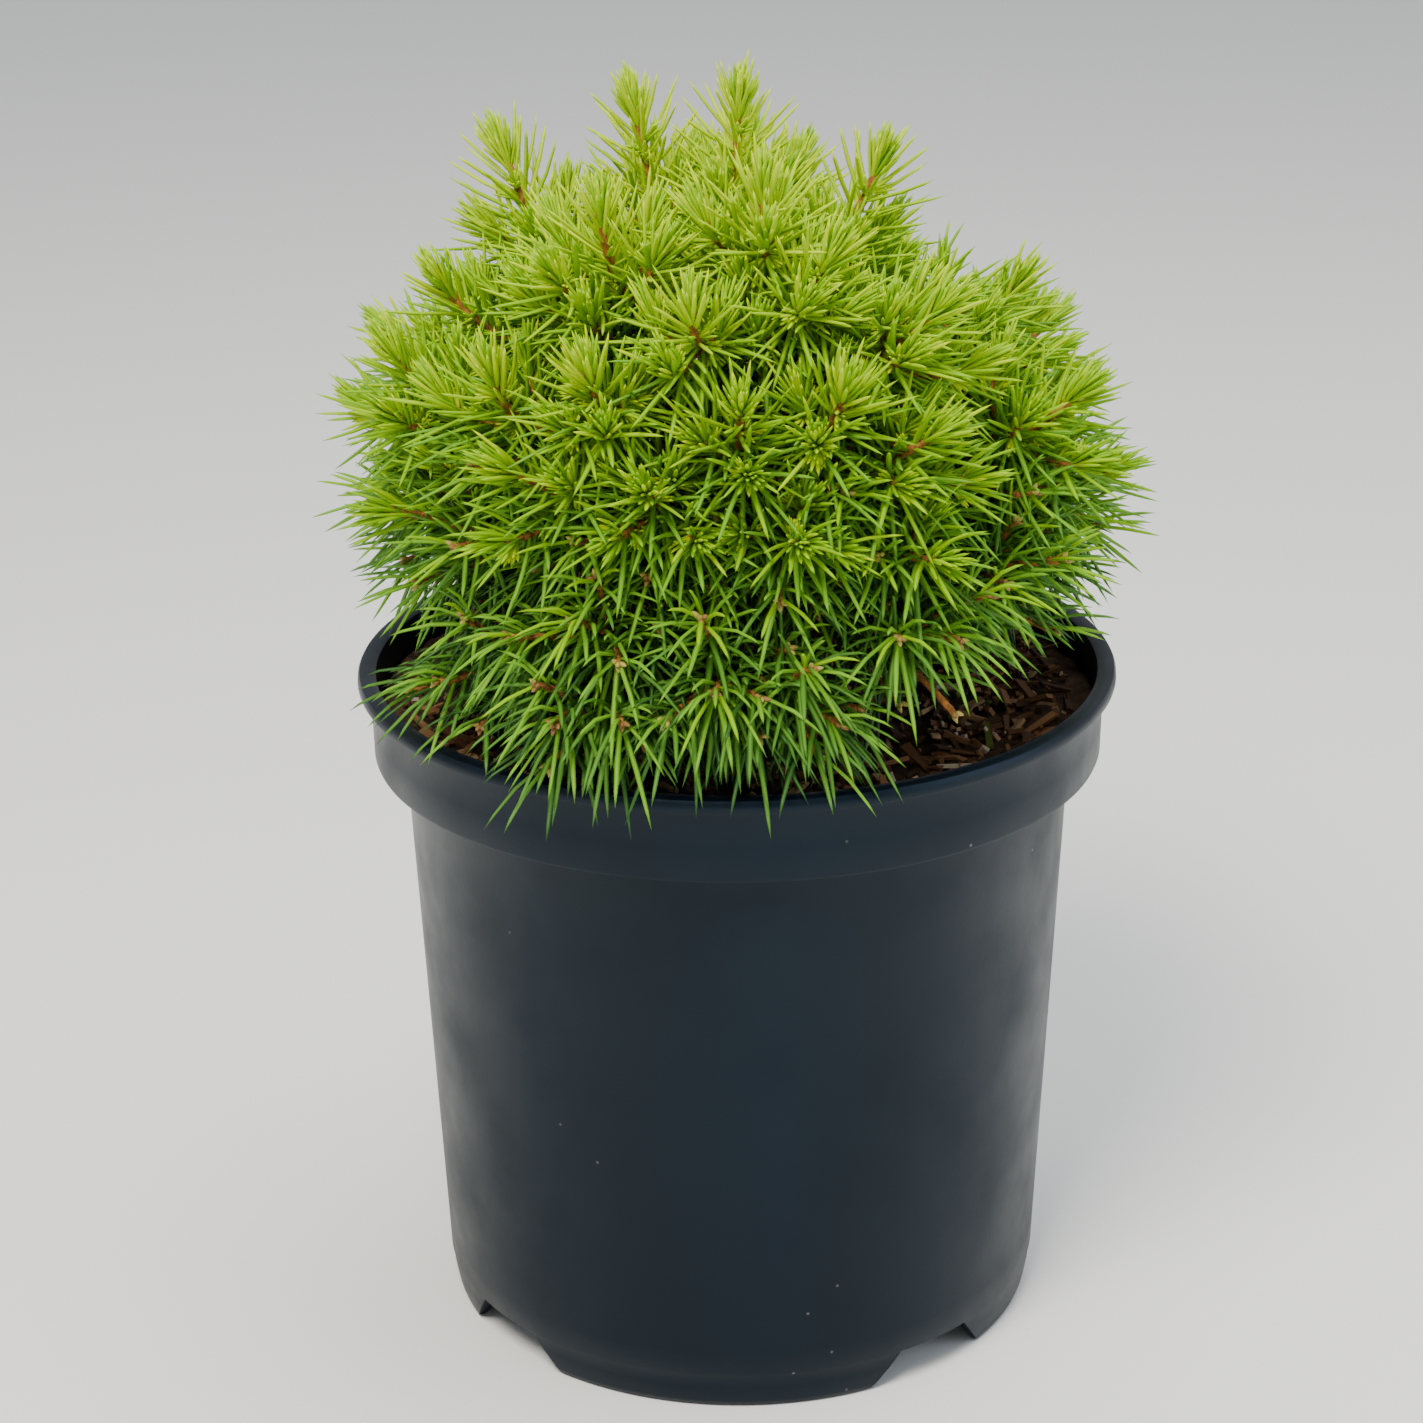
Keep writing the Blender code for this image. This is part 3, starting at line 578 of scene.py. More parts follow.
def mesh_of_arrays(name, points, face_arrays, materials, tones):
    """One mesh from an array of points and arrays of faces, with a material for each face."""
    mesh = bpy.data.meshes.new(name)
    mesh.vertices.add(len(points))
    mesh.vertices.foreach_set("co", points.astype(np.float32).ravel())
    corners = np.concatenate([faces.ravel() for faces in face_arrays]).astype(np.int32)
    counts = np.concatenate([np.full(len(faces), faces.shape[1]) for faces in face_arrays])
    starts = np.concatenate([[0], np.cumsum(counts)[:-1]]).astype(np.int32)
    mesh.loops.add(len(corners))
    mesh.loops.foreach_set("vertex_index", corners)
    mesh.polygons.add(len(counts))
    mesh.polygons.foreach_set("loop_start", starts)
    mesh.polygons.foreach_set("material_index", tones.astype(np.int32))
    for material in materials:
        mesh.materials.append(material)
    mesh.update(calc_edges=True)
    mesh.validate()
    mesh.shade_smooth()
    return mesh


def direction(heading, lift):
    turn, rise = math.radians(heading), math.radians(lift)
    level = math.cos(rise)
    return Vector((math.sin(turn) * level, -math.cos(turn) * level, math.sin(rise)))


def place(heading, reach, height):
    turn = math.radians(heading)
    return Vector((reach * math.sin(turn), -reach * math.cos(turn), height))


def mix(low, high, share):
    return low + (high - low) * share


def clamp(value):
    return min(1.0, max(0.0, value))


def rows_of(vectors):
    """An array with a row for each vector."""
    return np.array([tuple(vector) for vector in vectors])


def bezier(start, start_way, end, end_way, share):
    """A point and its direction on a smooth curve between two points with given directions."""
    handle = (end - start).length * HANDLE_SHARE
    a = start + start_way * handle
    b = end - end_way * handle
    rest = 1.0 - share
    point = (
        start * rest**3
        + a * (3 * rest * rest * share)
        + b * (3 * rest * share * share)
        + end * share**3
    )
    way = (a - start) * (rest * rest) + (b - a) * (2 * rest * share) + (end - b) * (share * share)
    return point, way.normalized()


# Pot and soil


def body_radius(height):
    """The pot's outer radius below its band."""
    share = (height - BODY_BOTTOM) / (BAND_BOTTOM - BODY_BOTTOM)
    return mix(BODY_RADIUS_BOTTOM, BODY_RADIUS_TOP, share)


def pot_profile(height, lip_radius):
    """Radius and height, from the middle of the underside out, up and back in to the floor.

    Each row is a radius and how far to step out from it, a height and how far to step up, with
    the steps in mm.
    """
    floor = BASE_UNDERSIDE + BASE_THICKNESS
    lip_low = height - LIP_HEIGHT
    band_inner = BAND_RADIUS_TOP - WALL
    ledge = BAND_BOTTOM + WALL
    rows = (
        (0.0, 0.0, BASE_UNDERSIDE, 0.0),
        (FOOT_RADIUS - WALL, -0.6, BASE_UNDERSIDE, 0.0),
        (FOOT_RADIUS - WALL, 0.0, 0.0, 0.0),
        (FOOT_RADIUS, 0.0, 0.0, 0.0),
        (FOOT_RADIUS, 0.7, 0.0, 0.5),
        (FOOT_RADIUS, 1.1, 0.0, 1.6),
        (FOOT_RADIUS, 1.8, 0.0, 5.5),
        (FOOT_RADIUS, 2.1, 0.0, 8.6),
        (FOOT_RADIUS, 2.35, 0.0, 9.0),
        (BODY_RADIUS_BOTTOM, 0.0, BODY_BOTTOM, 0.0),
        (body_radius(75.0 * MM), 0.0, 75.0 * MM, 0.0),
        (BODY_RADIUS_TOP, 0.0, BAND_BOTTOM, -1.0),
        (BODY_RADIUS_TOP, 0.3, BAND_BOTTOM, -0.3),
        (BODY_RADIUS_TOP, 1.0, BAND_BOTTOM, 0.0),
        (BAND_RADIUS_BOTTOM, -1.0, BAND_BOTTOM, 0.0),
        (BAND_RADIUS_BOTTOM, -0.3, BAND_BOTTOM, 0.3),
        (BAND_RADIUS_BOTTOM, 0.0, BAND_BOTTOM, 1.0),
        (BAND_RADIUS_BOTTOM, 0.15, BAND_BOTTOM, 8.0),
        (BAND_RADIUS_TOP, 0.0, lip_low, -1.4),
        (BAND_RADIUS_TOP, 0.5, lip_low, -0.4),
        (lip_radius, -0.6, lip_low, 0.0),
        (lip_radius, -0.15, lip_low, 0.25),
        (lip_radius, 0.0, lip_low, 0.8),
        (lip_radius, -0.1, height, -1.0),
        (lip_radius, -0.5, height, -0.25),
        (lip_radius, -1.2, height, 0.0),
        (band_inner, 0.7, height, -0.15),
        (band_inner, 0.15, height, -0.5),
        (band_inner, 0.0, height, -1.3),
        (BAND_RADIUS_BOTTOM - WALL, 0.0, ledge, 0.6),
        (BAND_RADIUS_BOTTOM - WALL, -0.5, ledge, 0.0),
        (BODY_RADIUS_TOP - WALL, 0.4, ledge, 0.0),
        (BODY_RADIUS_TOP - WALL, 0.0, ledge, -1.0),
        (body_radius(BODY_BOTTOM) - WALL, 0.0, BODY_BOTTOM, 0.0),
        (FOOT_RADIUS, -1.0, floor, 0.0),
        (0.0, 0.0, floor, 0.0),
    )
    return [(radius + out * MM, level + up * MM) for radius, out, level, up in rows]


def turned(name, profile, sides):
    """A closed solid of revolution. The profile starts and ends on the axis, counterclockwise."""
    vertices, rows = [], []
    for radius, height in profile:
        if radius == 0.0:
            rows.append([len(vertices)] * sides)
            vertices.append((0.0, 0.0, height))
            continue
        rows.append([len(vertices) + k for k in range(sides)])
        for k in range(sides):
            turn = 2 * math.pi * k / sides
            vertices.append((radius * math.cos(turn), radius * math.sin(turn), height))
    faces = []
    for low, high in zip(rows, rows[1:]):
        for k in range(sides):
            corners = (low[k], low[(k + 1) % sides], high[(k + 1) % sides], high[k])
            faces.append(tuple(dict.fromkeys(corners)))
    return mesh_of(name, vertices, faces)


def notch_cutter(heading):
    """A wedge with sloped sides that cuts the wall between two feet, open to the ground."""
    slope = (NOTCH_GROUND_WIDTH - NOTCH_TOP_WIDTH) / BASE_UNDERSIDE
    top, low = NOTCH_TOP_WIDTH / 2, (NOTCH_GROUND_WIDTH - slope * NOTCH_BELOW) / 2
    upper = ((top, BASE_UNDERSIDE), (-top, BASE_UNDERSIDE))
    outline = ((-low, NOTCH_BELOW), (low, NOTCH_BELOW), *upper)
    depths = (FOOT_RADIUS - NOTCH_IN, FOOT_RADIUS + NOTCH_OUT)
    vertices = [(x, -y, z) for y in depths for x, z in outline]
    faces = [(3, 2, 1, 0), (4, 5, 6, 7)]
    faces += [(k, (k + 1) % 4, (k + 1) % 4 + 4, k + 4) for k in range(4)]
    mesh = mesh_of("notch_cutter", vertices, faces)
    mesh.transform(Matrix.Rotation(math.radians(heading), 4, "Z"))
    return mesh


def drain_cutter(heading):
    bm = bmesh.new()
    centre = place(heading, DRAIN_REACH, BASE_UNDERSIDE + BASE_THICKNESS / 2)
    bmesh.ops.create_cone(
        bm,
        cap_ends=True,
        segments=32,
        radius1=DRAIN_DIAMETER / 2,
        radius2=DRAIN_DIAMETER / 2,
        depth=BASE_THICKNESS * 3,
        matrix=Matrix.Translation(centre),
    )
    mesh = bpy.data.meshes.new("drain_cutter")
    bm.to_mesh(mesh)
    bm.free()
    return mesh


def cut_mesh(mesh, tools):
    """A mesh with the others cut from it."""
    thing = bpy.data.objects.new("uncut", mesh)
    bpy.context.scene.collection.objects.link(thing)
    group = bpy.data.collections.new("cutters")
    bpy.context.scene.collection.children.link(group)
    cutters = [bpy.data.objects.new("cutter", tool) for tool in tools]
    for cutter in cutters:
        group.objects.link(cutter)
    boolean = thing.modifiers.new("cut", "BOOLEAN")
    boolean.operation = "DIFFERENCE"
    boolean.solver = "EXACT"
    boolean.operand_type = "COLLECTION"
    boolean.collection = group
    graph = bpy.context.evaluated_depsgraph_get()
    cut = bpy.data.meshes.new_from_object(thing.evaluated_get(graph))
    for part in (thing, *cutters):
        bpy.data.objects.remove(part, do_unlink=True)
    bpy.data.collections.remove(group)
    return cut


def soil_height(x, y):
    """The soil's uneven surface, flat round the trunk."""
    reach = math.hypot(x, y)
    share = clamp((reach - SOIL_FLAT_RADIUS) / SOIL_FLAT_RADIUS)
    waves = math.sin(x * 95 + 1.0) * math.cos(y * 120) + 0.5 * math.sin((x - y) * 170)
    return SOIL_TOP + SOIL_RELIEF * share * waves / 1.5


def crumbly_height(x, y):
    """The soil's surface with its clods."""
    clods = noise.fractal(Vector((x, y, 0.0)) * 190.0, 0.8, 2.1, 5)
    return soil_height(x, y) + 1.1 * MM * clods


def soil_mesh():
    """The filling of the pot with a crumbly top, clear of the wall by the gap all round."""
    floor = BASE_UNDERSIDE + BASE_THICKNESS + GAP
    side = WALL + GAP
    ledge = BAND_BOTTOM + WALL + GAP
    band = BAND_RADIUS_BOTTOM - side
    profile = [
        (0.0, floor),
        (FOOT_RADIUS - 1.2 * MM - GAP, floor),
        (BODY_RADIUS_BOTTOM - side, BODY_BOTTOM),
        (BODY_RADIUS_TOP - side, ledge - 1.5 * MM),
        (BODY_RADIUS_TOP - side, ledge),
        (band, ledge),
    ]
    profile += [(band * (1.0 - k / SOIL_ROUNDS), SOIL_TOP) for k in range(SOIL_ROUNDS)]
    profile.append((0.0, SOIL_TOP))
    mesh = turned("soil_compost", profile, SOIL_SIDES)
    top = mesh.vertices[-1].co.z
    for vertex in mesh.vertices:
        if vertex.co.z == top:
            vertex.co.z = crumbly_height(vertex.co.x, vertex.co.y)
    return mesh


# Each tone of bark chip: its colour and how many in a hundred have it
CHIP_TONES = (
    ((0.052, 0.022, 0.01), 30),
    ((0.115, 0.05, 0.02), 28),
    ((0.21, 0.1, 0.042), 20),
    ((0.33, 0.2, 0.1), 12),
    ((0.4, 0.33, 0.24), 6),
    ((0.1, 0.13, 0.02), 4),
)

# Slivers: the ranges of their length, width and height, and how far they tip, in radians
Sliver = namedtuple("Sliver", "sizes tilt")
CHIP = Sliver(((4.0 * MM, 12.0 * MM), (1.4 * MM, 3.6 * MM), (0.5 * MM, 1.4 * MM)), 0.42)
CRUMB = Sliver(((0.8 * MM, 2.4 * MM), (0.6 * MM, 1.8 * MM), (0.5 * MM, 1.4 * MM)), 1.2)
SLIVER_QUADS = np.array(
    ((0, 3, 2, 1), (4, 5, 6, 7), (0, 1, 5, 4), (1, 2, 6, 5), (2, 3, 7, 6), (3, 0, 4, 7))
)
TRUNK_CLEARANCE = 9.0 * MM


def chip_points(rng, length, width, height):
    """The eight corners of a splintered sliver of bark, lying level at the origin."""
    corners = []
    for end in (-1, 1):
        taper = rng.uniform(0.35, 0.95)
        for side, level in ((-1, -1), (1, -1), (1, 1), (-1, 1)):
            x = end * length / 2 * rng.uniform(0.82, 1.0)
            y = side * width / 2 * taper * rng.uniform(0.75, 1.0)
            corners.append(Vector((x, y, level * height / 2 * rng.uniform(0.6, 1.0))))
    return corners


def scatter_on_soil(count, rng, sliver):
    """Points, quads and tones of slivers strewn over the soil inside the band."""
    edge = BAND_RADIUS_TOP - WALL - 6.0 * MM
    points, tones = [], []
    while len(tones) < count:
        x, y = rng.uniform(-edge, edge), rng.uniform(-edge, edge)
        if not TRUNK_CLEARANCE < math.hypot(x, y) < edge:
            continue
        length, width, height = (rng.uniform(*size) for size in sliver.sizes)
        pose = Matrix.Rotation(rng.uniform(0, 2 * math.pi), 3, "Z")
        for axis in "YX":
            pose = pose @ Matrix.Rotation(rng.uniform(-sliver.tilt, sliver.tilt), 3, axis)
        spot = Vector((x, y, crumbly_height(x, y) + rng.uniform(0.3, 1.7) * MM))
        points += [pose @ corner + spot for corner in chip_points(rng, length, width, height)]
        weights = [share for _, share in CHIP_TONES]
        tones.append(rng.choices(range(len(CHIP_TONES)), weights)[0])
    quads = (SLIVER_QUADS[None] + 8 * np.arange(count)[:, None, None]).reshape(-1, 4)
    return rows_of(points), quads, np.repeat(tones, len(SLIVER_QUADS))


# Limbs


def frames(rings):
    """Two directions across each ring, carried along without twisting."""
    across = rings[0].normal.orthogonal().normalized()
    for ring in rings:
        across = (across - ring.normal * across.dot(ring.normal)).normalized()
        yield across, ring.normal.cross(across)


def tube_arrays(rings, sides, shape=None):
    """Points and quads of a limb through the rings. The shape scales each point's own radius."""
    angles = [2 * math.pi * k / sides for k in range(sides)]
    points, quads = [], []
    for row, (ring, pair) in enumerate(zip(rings, frames(rings))):
        for angle in angles:
            radius = ring.radius * (shape(ring, row, angle) if shape else 1.0)
            out = pair[0] * math.cos(angle) + pair[1] * math.sin(angle)
            points.append(ring.centre + out * radius)
    for row in range(len(rings) - 1):
        low, high = row * sides, (row + 1) * sides
        for k in range(sides):
            after = (k + 1) % sides
            quads.append((low + k, low + after, high + after, high + k))
    return points, quads


def capped_tubes(limbs, sides, shape):
    """Points and faces of several limbs, each closed at both ends, from the rings of each. The
    shape gets the limb's number too."""
    points, faces = [], []
    for number, rings in enumerate(limbs):
        spots, quads = tube_arrays(rings, sides, partial(shape, number))
        last = (len(rings) - 1) * sides
        quads += [tuple(range(sides - 1, -1, -1)), tuple(range(last, last + sides))]
        faces += [tuple(corner + len(points) for corner in quad) for quad in quads]
        points += spots
    return points, faces


def bark_noise(angle, width, aside, up, detail):
    """Noise that closes round a limb without a seam."""
    spot = Vector((math.cos(angle) * width + aside, math.sin(angle) * width, up))
    return noise.fractal(spot, 0.9, 2.0, detail)


def trunk_relief(number, ring, row, angle):
    flare = 0.16 * math.exp(-(ring.centre.z - SOIL_TOP) / FLARE_HEIGHT)
    relief = 0.05 * bark_noise(angle, 2.6, number, row * 0.22, 4)
    return 1.0 + flare * math.cos(FLARE_ROOTS * angle) - flare + relief


def bough_relief(number, ring, row, angle):
    return 1.0 + 0.07 * bark_noise(angle, 1.6, number * 7, row * 0.35, 3)


def twig_pegs(number, ring, row, angle):
    return 1.0 + 0.2 * math.sin(3 * angle + row * 2.4 + number)


def trunk_point(height):
    """The trunk's axis: it leans a little and straightens."""
    share = (height - SOIL_TOP) / (TRUNK_TOP - SOIL_TOP)
    return TRUNK_LEAN * (share * (1.6 - 0.6 * share)) + Vector((0.0, 0.0, height))


def trunk_radius(height):
    share = (height - SOIL_TOP) / (TRUNK_TOP - SOIL_TOP)
    flare = FLARE_RADIUS * math.exp(-(height - SOIL_TOP) / FLARE_HEIGHT * 2.2)
    return mix(TRUNK_RADIUS_BASE, TRUNK_RADIUS_TOP, share) + flare


def dome_reach(height):
    share = min(1.0, abs(height - DOME_MIDDLE) / DOME_RISE)
    return DOME_RADIUS * (1.0 - share**DOME_POWER) ** (1.0 / DOME_POWER)


def mass_tip(mass):
    """The tip of a mass's leading shoot, and its direction there."""
    height = mass.height * MM
    reach = dome_reach(height) if mass.reach is None else mass.reach * MM
    return place(mass.heading, reach, height), direction(mass.heading + mass.lean, mass.lift)


def side_root(axis_point, axis_way, radius, towards, ring_radius):
    """The ring by which a limb sits on the side of another, flat against it and the gap clear."""
    out = towards - axis_way * towards.dot(axis_way)
    out.normalize()
    return Ring(axis_point + out * (radius + GAP), out, ring_radius)


class Limb:
    """A curve with a radius along it, from a flat seat to a tip."""

    def __init__(self, seat, start_way, tip, tip_way, tip_radius):
        self.seat = seat
        self.start_way = start_way
        self.tip = tip
        self.tip_way = tip_way
        self.tip_radius = tip_radius

    def at(self, share):
        return bezier(self.seat.centre, self.start_way, self.tip, self.tip_way, share)

    def radius(self, share):
        return mix(self.seat.radius, self.tip_radius, share)

    def rings(self, count):
        """The seat, and then evenly spaced rings across the curve."""
        found = [self.seat]
        for k in range(1, count):
            share = k / (count - 1)
            point, way = self.at(share)
            found.append(Ring(point, way, self.radius(share)))
        return found

    def samples(self, count, beyond=0.0):
        points = [self.at(k / count)[0] for k in range(count + 1)]
        if beyond:
            points.append(self.tip + self.tip_way * beyond)
        return points

    def length(self):
        points = self.samples(12)
        return sum((b - a).length for a, b in zip(points, points[1:]))


def bough_root_radius(height):
    share = (height - SOIL_TOP) / (TRUNK_TOP - SOIL_TOP)
    return mix(BOUGH_RADIUS_ROOT_LOW, BOUGH_RADIUS_ROOT_HIGH, share)


def make_bough_limb(name):
    """A bough goes part of the way from the trunk to the middle of the masses it carries."""
    height = BOUGHS[name]
    tips = [mass_tip(mass)[0] for mass in MASSES if mass.limb == name]
    middle = sum(tips, Vector()) / len(tips)
    axis = trunk_point(height)
    level = Vector((middle.x - axis.x, middle.y - axis.y, 0.0)).normalized()
    seat = side_root(axis, UP, trunk_radius(height), level, bough_root_radius(height))
    rise = math.radians(BOUGH_ROOT_LIFT)
    start_way = level * math.cos(rise) + UP * math.sin(rise)
    tip = axis.lerp(middle, BOUGH_SHARE)
    return Limb(seat, start_way, tip, (middle - tip).normalized(), BOUGH_RADIUS_TIP)


def make_stem_limb(mass, boughs):
    """A mass's stem: on from its bough's tip if it is the nearest in line, or off its side."""
    tip, tip_way = mass_tip(mass)
    if mass.limb == TRUNK_TIP:
        seat = Ring(trunk_point(TRUNK_TOP) + UP * GAP, UP.copy(), STEM_RADIUS_ROOT)
        return Limb(seat, seat.normal, tip, tip_way, STEM_RADIUS_TIP)
    if mass.limb not in boughs:
        height = mass.limb * MM
        axis = trunk_point(height)
        seat = side_root(axis, UP, trunk_radius(height), tip - axis, STEM_RADIUS_ROOT)
        return Limb(seat, (seat.normal + UP).normalized(), tip, tip_way, STEM_RADIUS_TIP)
    bough = boughs[mass.limb]
    mates = [other for other in MASSES if other.limb == mass.limb]
    mates.sort(key=lambda other: (mass_tip(other)[0] - bough.tip).angle(bough.tip_way))
    order = mates.index(mass)
    if order == 0:
        seat = Ring(bough.tip + bough.tip_way * GAP, bough.tip_way, STEM_RADIUS_ROOT)
        return Limb(seat, bough.tip_way, tip, tip_way, STEM_RADIUS_TIP)
    share = 1.0 - order * FORK_STEP / bough.length()
    axis, way = bough.at(share)
    seat = side_root(axis, way, bough.radius(share), tip - axis, STEM_RADIUS_ROOT)
    return Limb(seat, (seat.normal + way).normalized(), tip, tip_way, STEM_RADIUS_TIP)


# The space of each mass


def straight_pieces(lines):
    """The two ends of every straight piece of some lines, and the number of its line."""
    pieces = [(a, b, k) for k, line in enumerate(lines) for a, b in zip(line, line[1:])]
    starts, ends, owners = zip(*pieces)
    return rows_of(starts), rows_of(ends), np.array(owners)


def distances(points, starts, ends):
    """How far each point is from each of many straight pieces."""
    along = ends - starts
    offset = points[:, None, :] - starts[None]
    share = np.clip((offset * along).sum(2) / (along * along).sum(1), 0.0, 1.0)
    return np.linalg.norm(offset - along * share[..., None], axis=2)


class Space:
    """Says whether points belong to a mass: nearer to its stem than to any other, and clear of
    the trunk, the boughs, the soil and the pot."""

    def __init__(self, boughs, stems):
        stem_lines = [stem.samples(6, TIP_REACH) for stem in stems]
        self.starts, self.ends, self.owners = straight_pieces(stem_lines)
        heights = [mix(SOIL_TOP, TRUNK_TOP, k / 8) for k in range(9)]
        wood_lines = [bough.samples(8) for bough in boughs]
        wood_lines.append([trunk_point(height) for height in heights])
        self.wood_starts, self.wood_ends, _ = straight_pieces(wood_lines)
        radii = [bough.seat.radius for bough in boughs for _ in range(8)]
        radii += [trunk_radius(height) for height in heights[:-1]]
        self.wood_radii = np.array(radii)

    def clear_of_wood(self, points, extra):
        away = distances(points, self.wood_starts, self.wood_ends) - self.wood_radii
        return away.min(1) > extra + GAP

    def clear_of_pot(self, points, extra):
        pot = bpy.context.scene.spruce_pot
        reach = np.hypot(points[:, 0], points[:, 1])
        clear = extra + 2 * GAP
        floor = np.where(reach < pot.lip_radius + clear, pot.height + clear, BAND_BOTTOM)
        inside = reach < BAND_RADIUS_TOP - WALL - clear
        floor = np.where(inside, SOIL_TOP + SOIL_RELIEF + clear, floor)
        return points[:, 2] > floor

    def holds(self, owner, points, extra=0.0, margin=SPACE_MARGIN):
        away = distances(points, self.starts, self.ends)
        own = away[:, self.owners == owner].min(1)
        nearest_other = away[:, self.owners != owner].min(1)
        within = nearest_other > own + margin + extra
        return within & self.clear_of_wood(points, extra) & self.clear_of_pot(points, extra)


# Growth


Shoot = namedtuple("Shoot", "limb needled kind lightness droop")


def side_shoot(stem, length, roll, spread, drop, size, shrink):
    """A shoot that leaves the stem below its tip, bends out and ends beside the leader."""
    across = stem.tip_way.orthogonal().normalized()
    out = Matrix.Rotation(roll, 3, stem.tip_way) @ across
    reach = spread * size * shrink
    back = min((drop + reach * FORK_RUN) / length, LOWEST_FORK)
    root, way = stem.at(1.0 - back)
    fork = math.radians(FORK_ANGLE)
    start_way = (way * math.cos(fork) + out * math.sin(fork)).normalized()
    tip = stem.tip - stem.tip_way * drop * size + out * reach
    tip_way = (stem.tip_way + out * TIP_SPLAY).normalized()
    seat = Ring(root, start_way, STEM_RADIUS_TIP * 0.7)
    return Limb(seat, start_way, tip, tip_way, STEM_RADIUS_TIP * 0.9)


def round_of_shoots(index, stem, space, rng, ring, rule, reach):
    """Side shoots spread round a mass's stem by a seeded rule. One that would leave the mass's
    space is drawn in closer, and skipped if it still doesn't fit."""
    length = stem.length()
    drop = min(ring.drop, length * rule.deepest)
    found = []
    for k in range(ring.count):
        turn = MASSES[index].roll + ring.turn + 360.0 * k / ring.count
        roll = math.radians(turn + rng.uniform(-rule.jitter, rule.jitter))
        size = rng.uniform(rule.smallest, LARGEST_SHOOT)
        for shrink in SHRINK_STEPS:
            shoot = side_shoot(stem, length, roll, ring.spread, drop, size, shrink)
            points = rows_of(shoot.samples(4, reach)[2:])
            if space.holds(index, points, STEM_RADIUS_TIP, rule.margin).all():
                found.append(shoot)
                break
    return found


# The needles' tones paint this light and shade into their colour
def crown_light(point):
    """How much light a shoot gets: more near the top and the outside of the crown."""
    rise = point.z - LIGHT_FLOOR
    outside = max(math.hypot(point.x, point.y) / DOME_RADIUS, rise / OUTSIDE_HEIGHT)
    return clamp(LEVEL_LIGHT * (rise / LIGHT_HEIGHT) + OUTSIDE_LIGHT * (outside - DULL_OUTSIDE))


def grow_shoots():
    """The space of the masses and every shoot: leaders, side shoots and the finer ones below."""
    settings = bpy.context.scene.spruce_crown
    boughs = {name: make_bough_limb(name) for name in BOUGHS}
    stems = [make_stem_limb(mass, boughs) for mass in MASSES]
    space = Space(boughs.values(), stems)
    shoots = []
    for index, stem in enumerate(stems):
        habit = HABITS[MASSES[index].habit]
        needled = min(settings.needled_length, stem.length() * LEADER_NEEDLED)
        shoots.append(Shoot(stem, needled, "leader", crown_light(stem.tip), habit.droop))
        for rule, rounds, reach in (
            (SIDE_RULE, (habit.side,), settings.needle_length * 0.5),
            (FINER_RULE, habit.finer, FINER_REACH),
        ):
            rng = random.Random(settings.seed * rule.seed + index)
            droop = habit.droop + rule.droop
            for ring in rounds:
                for limb in round_of_shoots(index, stem, space, rng, ring, rule, reach):
                    light = crown_light(limb.tip) - rule.shade
                    needled = limb.length() * rule.needled
                    shoots.append(Shoot(limb, needled, rule.kind, light, droop))
    return space, shoots


# Each tone of needle, from the shade to the young tips
# The darker tones are painted shade inside and low in the crown; the paler ones are partly painted
# light and partly the young growth's own colour
NEEDLE_TONES = (
    (0.011, 0.042, 0.006),
    (0.03, 0.105, 0.012),
    (0.08, 0.22, 0.02),
    (0.155, 0.36, 0.018),
    (0.23, 0.45, 0.001),
    (0.34, 0.55, 0.0),
    (0.49, 0.66, 0.0),
)
TIP_TONE = len(NEEDLE_TONES) - 1

# Along a needle: the share of its length and its share of the full width
NEEDLE_STEPS = ((0.0, 0.5), (0.12, 0.95), (0.55, 1.0), (0.85, 0.7))
NEEDLE_SIDES = 4
NEEDLE_DEPTH = 0.72

# How the needles of a shoot stand, each pair from full light to shade: the lean from the shoot's
# line at its foot, its end and its very tip, in degrees, the size at the tip, how far they sag and
# how much younger they look at the tip
FOOT_LEAN = (56.0, 68.0)
END_LEAN = (50.0, 60.0)
TIP_LEAN = (12.0, 34.0)
TIP_SIZE = (0.62, 0.85)
SAG = (0.05, 0.3)
TIP_YOUTH = (0.34, 0.12)

# Where the tip's part of a shoot starts and how long it is, the size at the foot, and the tones
# of needles in no light and in full light
TIP_START = 0.72
TIP_PART = 0.28
FOOT_SIZE = 0.82
# The needles' tone follows the shoot's light: painted light and shade
TONES_BY_LIGHT = (0.9, 6.0)

# Young needles: the least light for the tuft at a shoot's tip and for those along its upper part,
# how many needles the first has, how many of the second there are and the needles in each
FLUSH_LIGHT = 0.42
TUFT_LIGHT = 0.45
FLUSH_COUNTS = (10, 34)
TUFT_COUNTS = (2, 4)
TUFT_NEEDLES = 9

Needle = namedtuple("Needle", "root way length width bend tone")


def leaning(way, out, degrees):
    lean = math.radians(degrees)
    return way * math.cos(lean) + out * math.sin(lean)


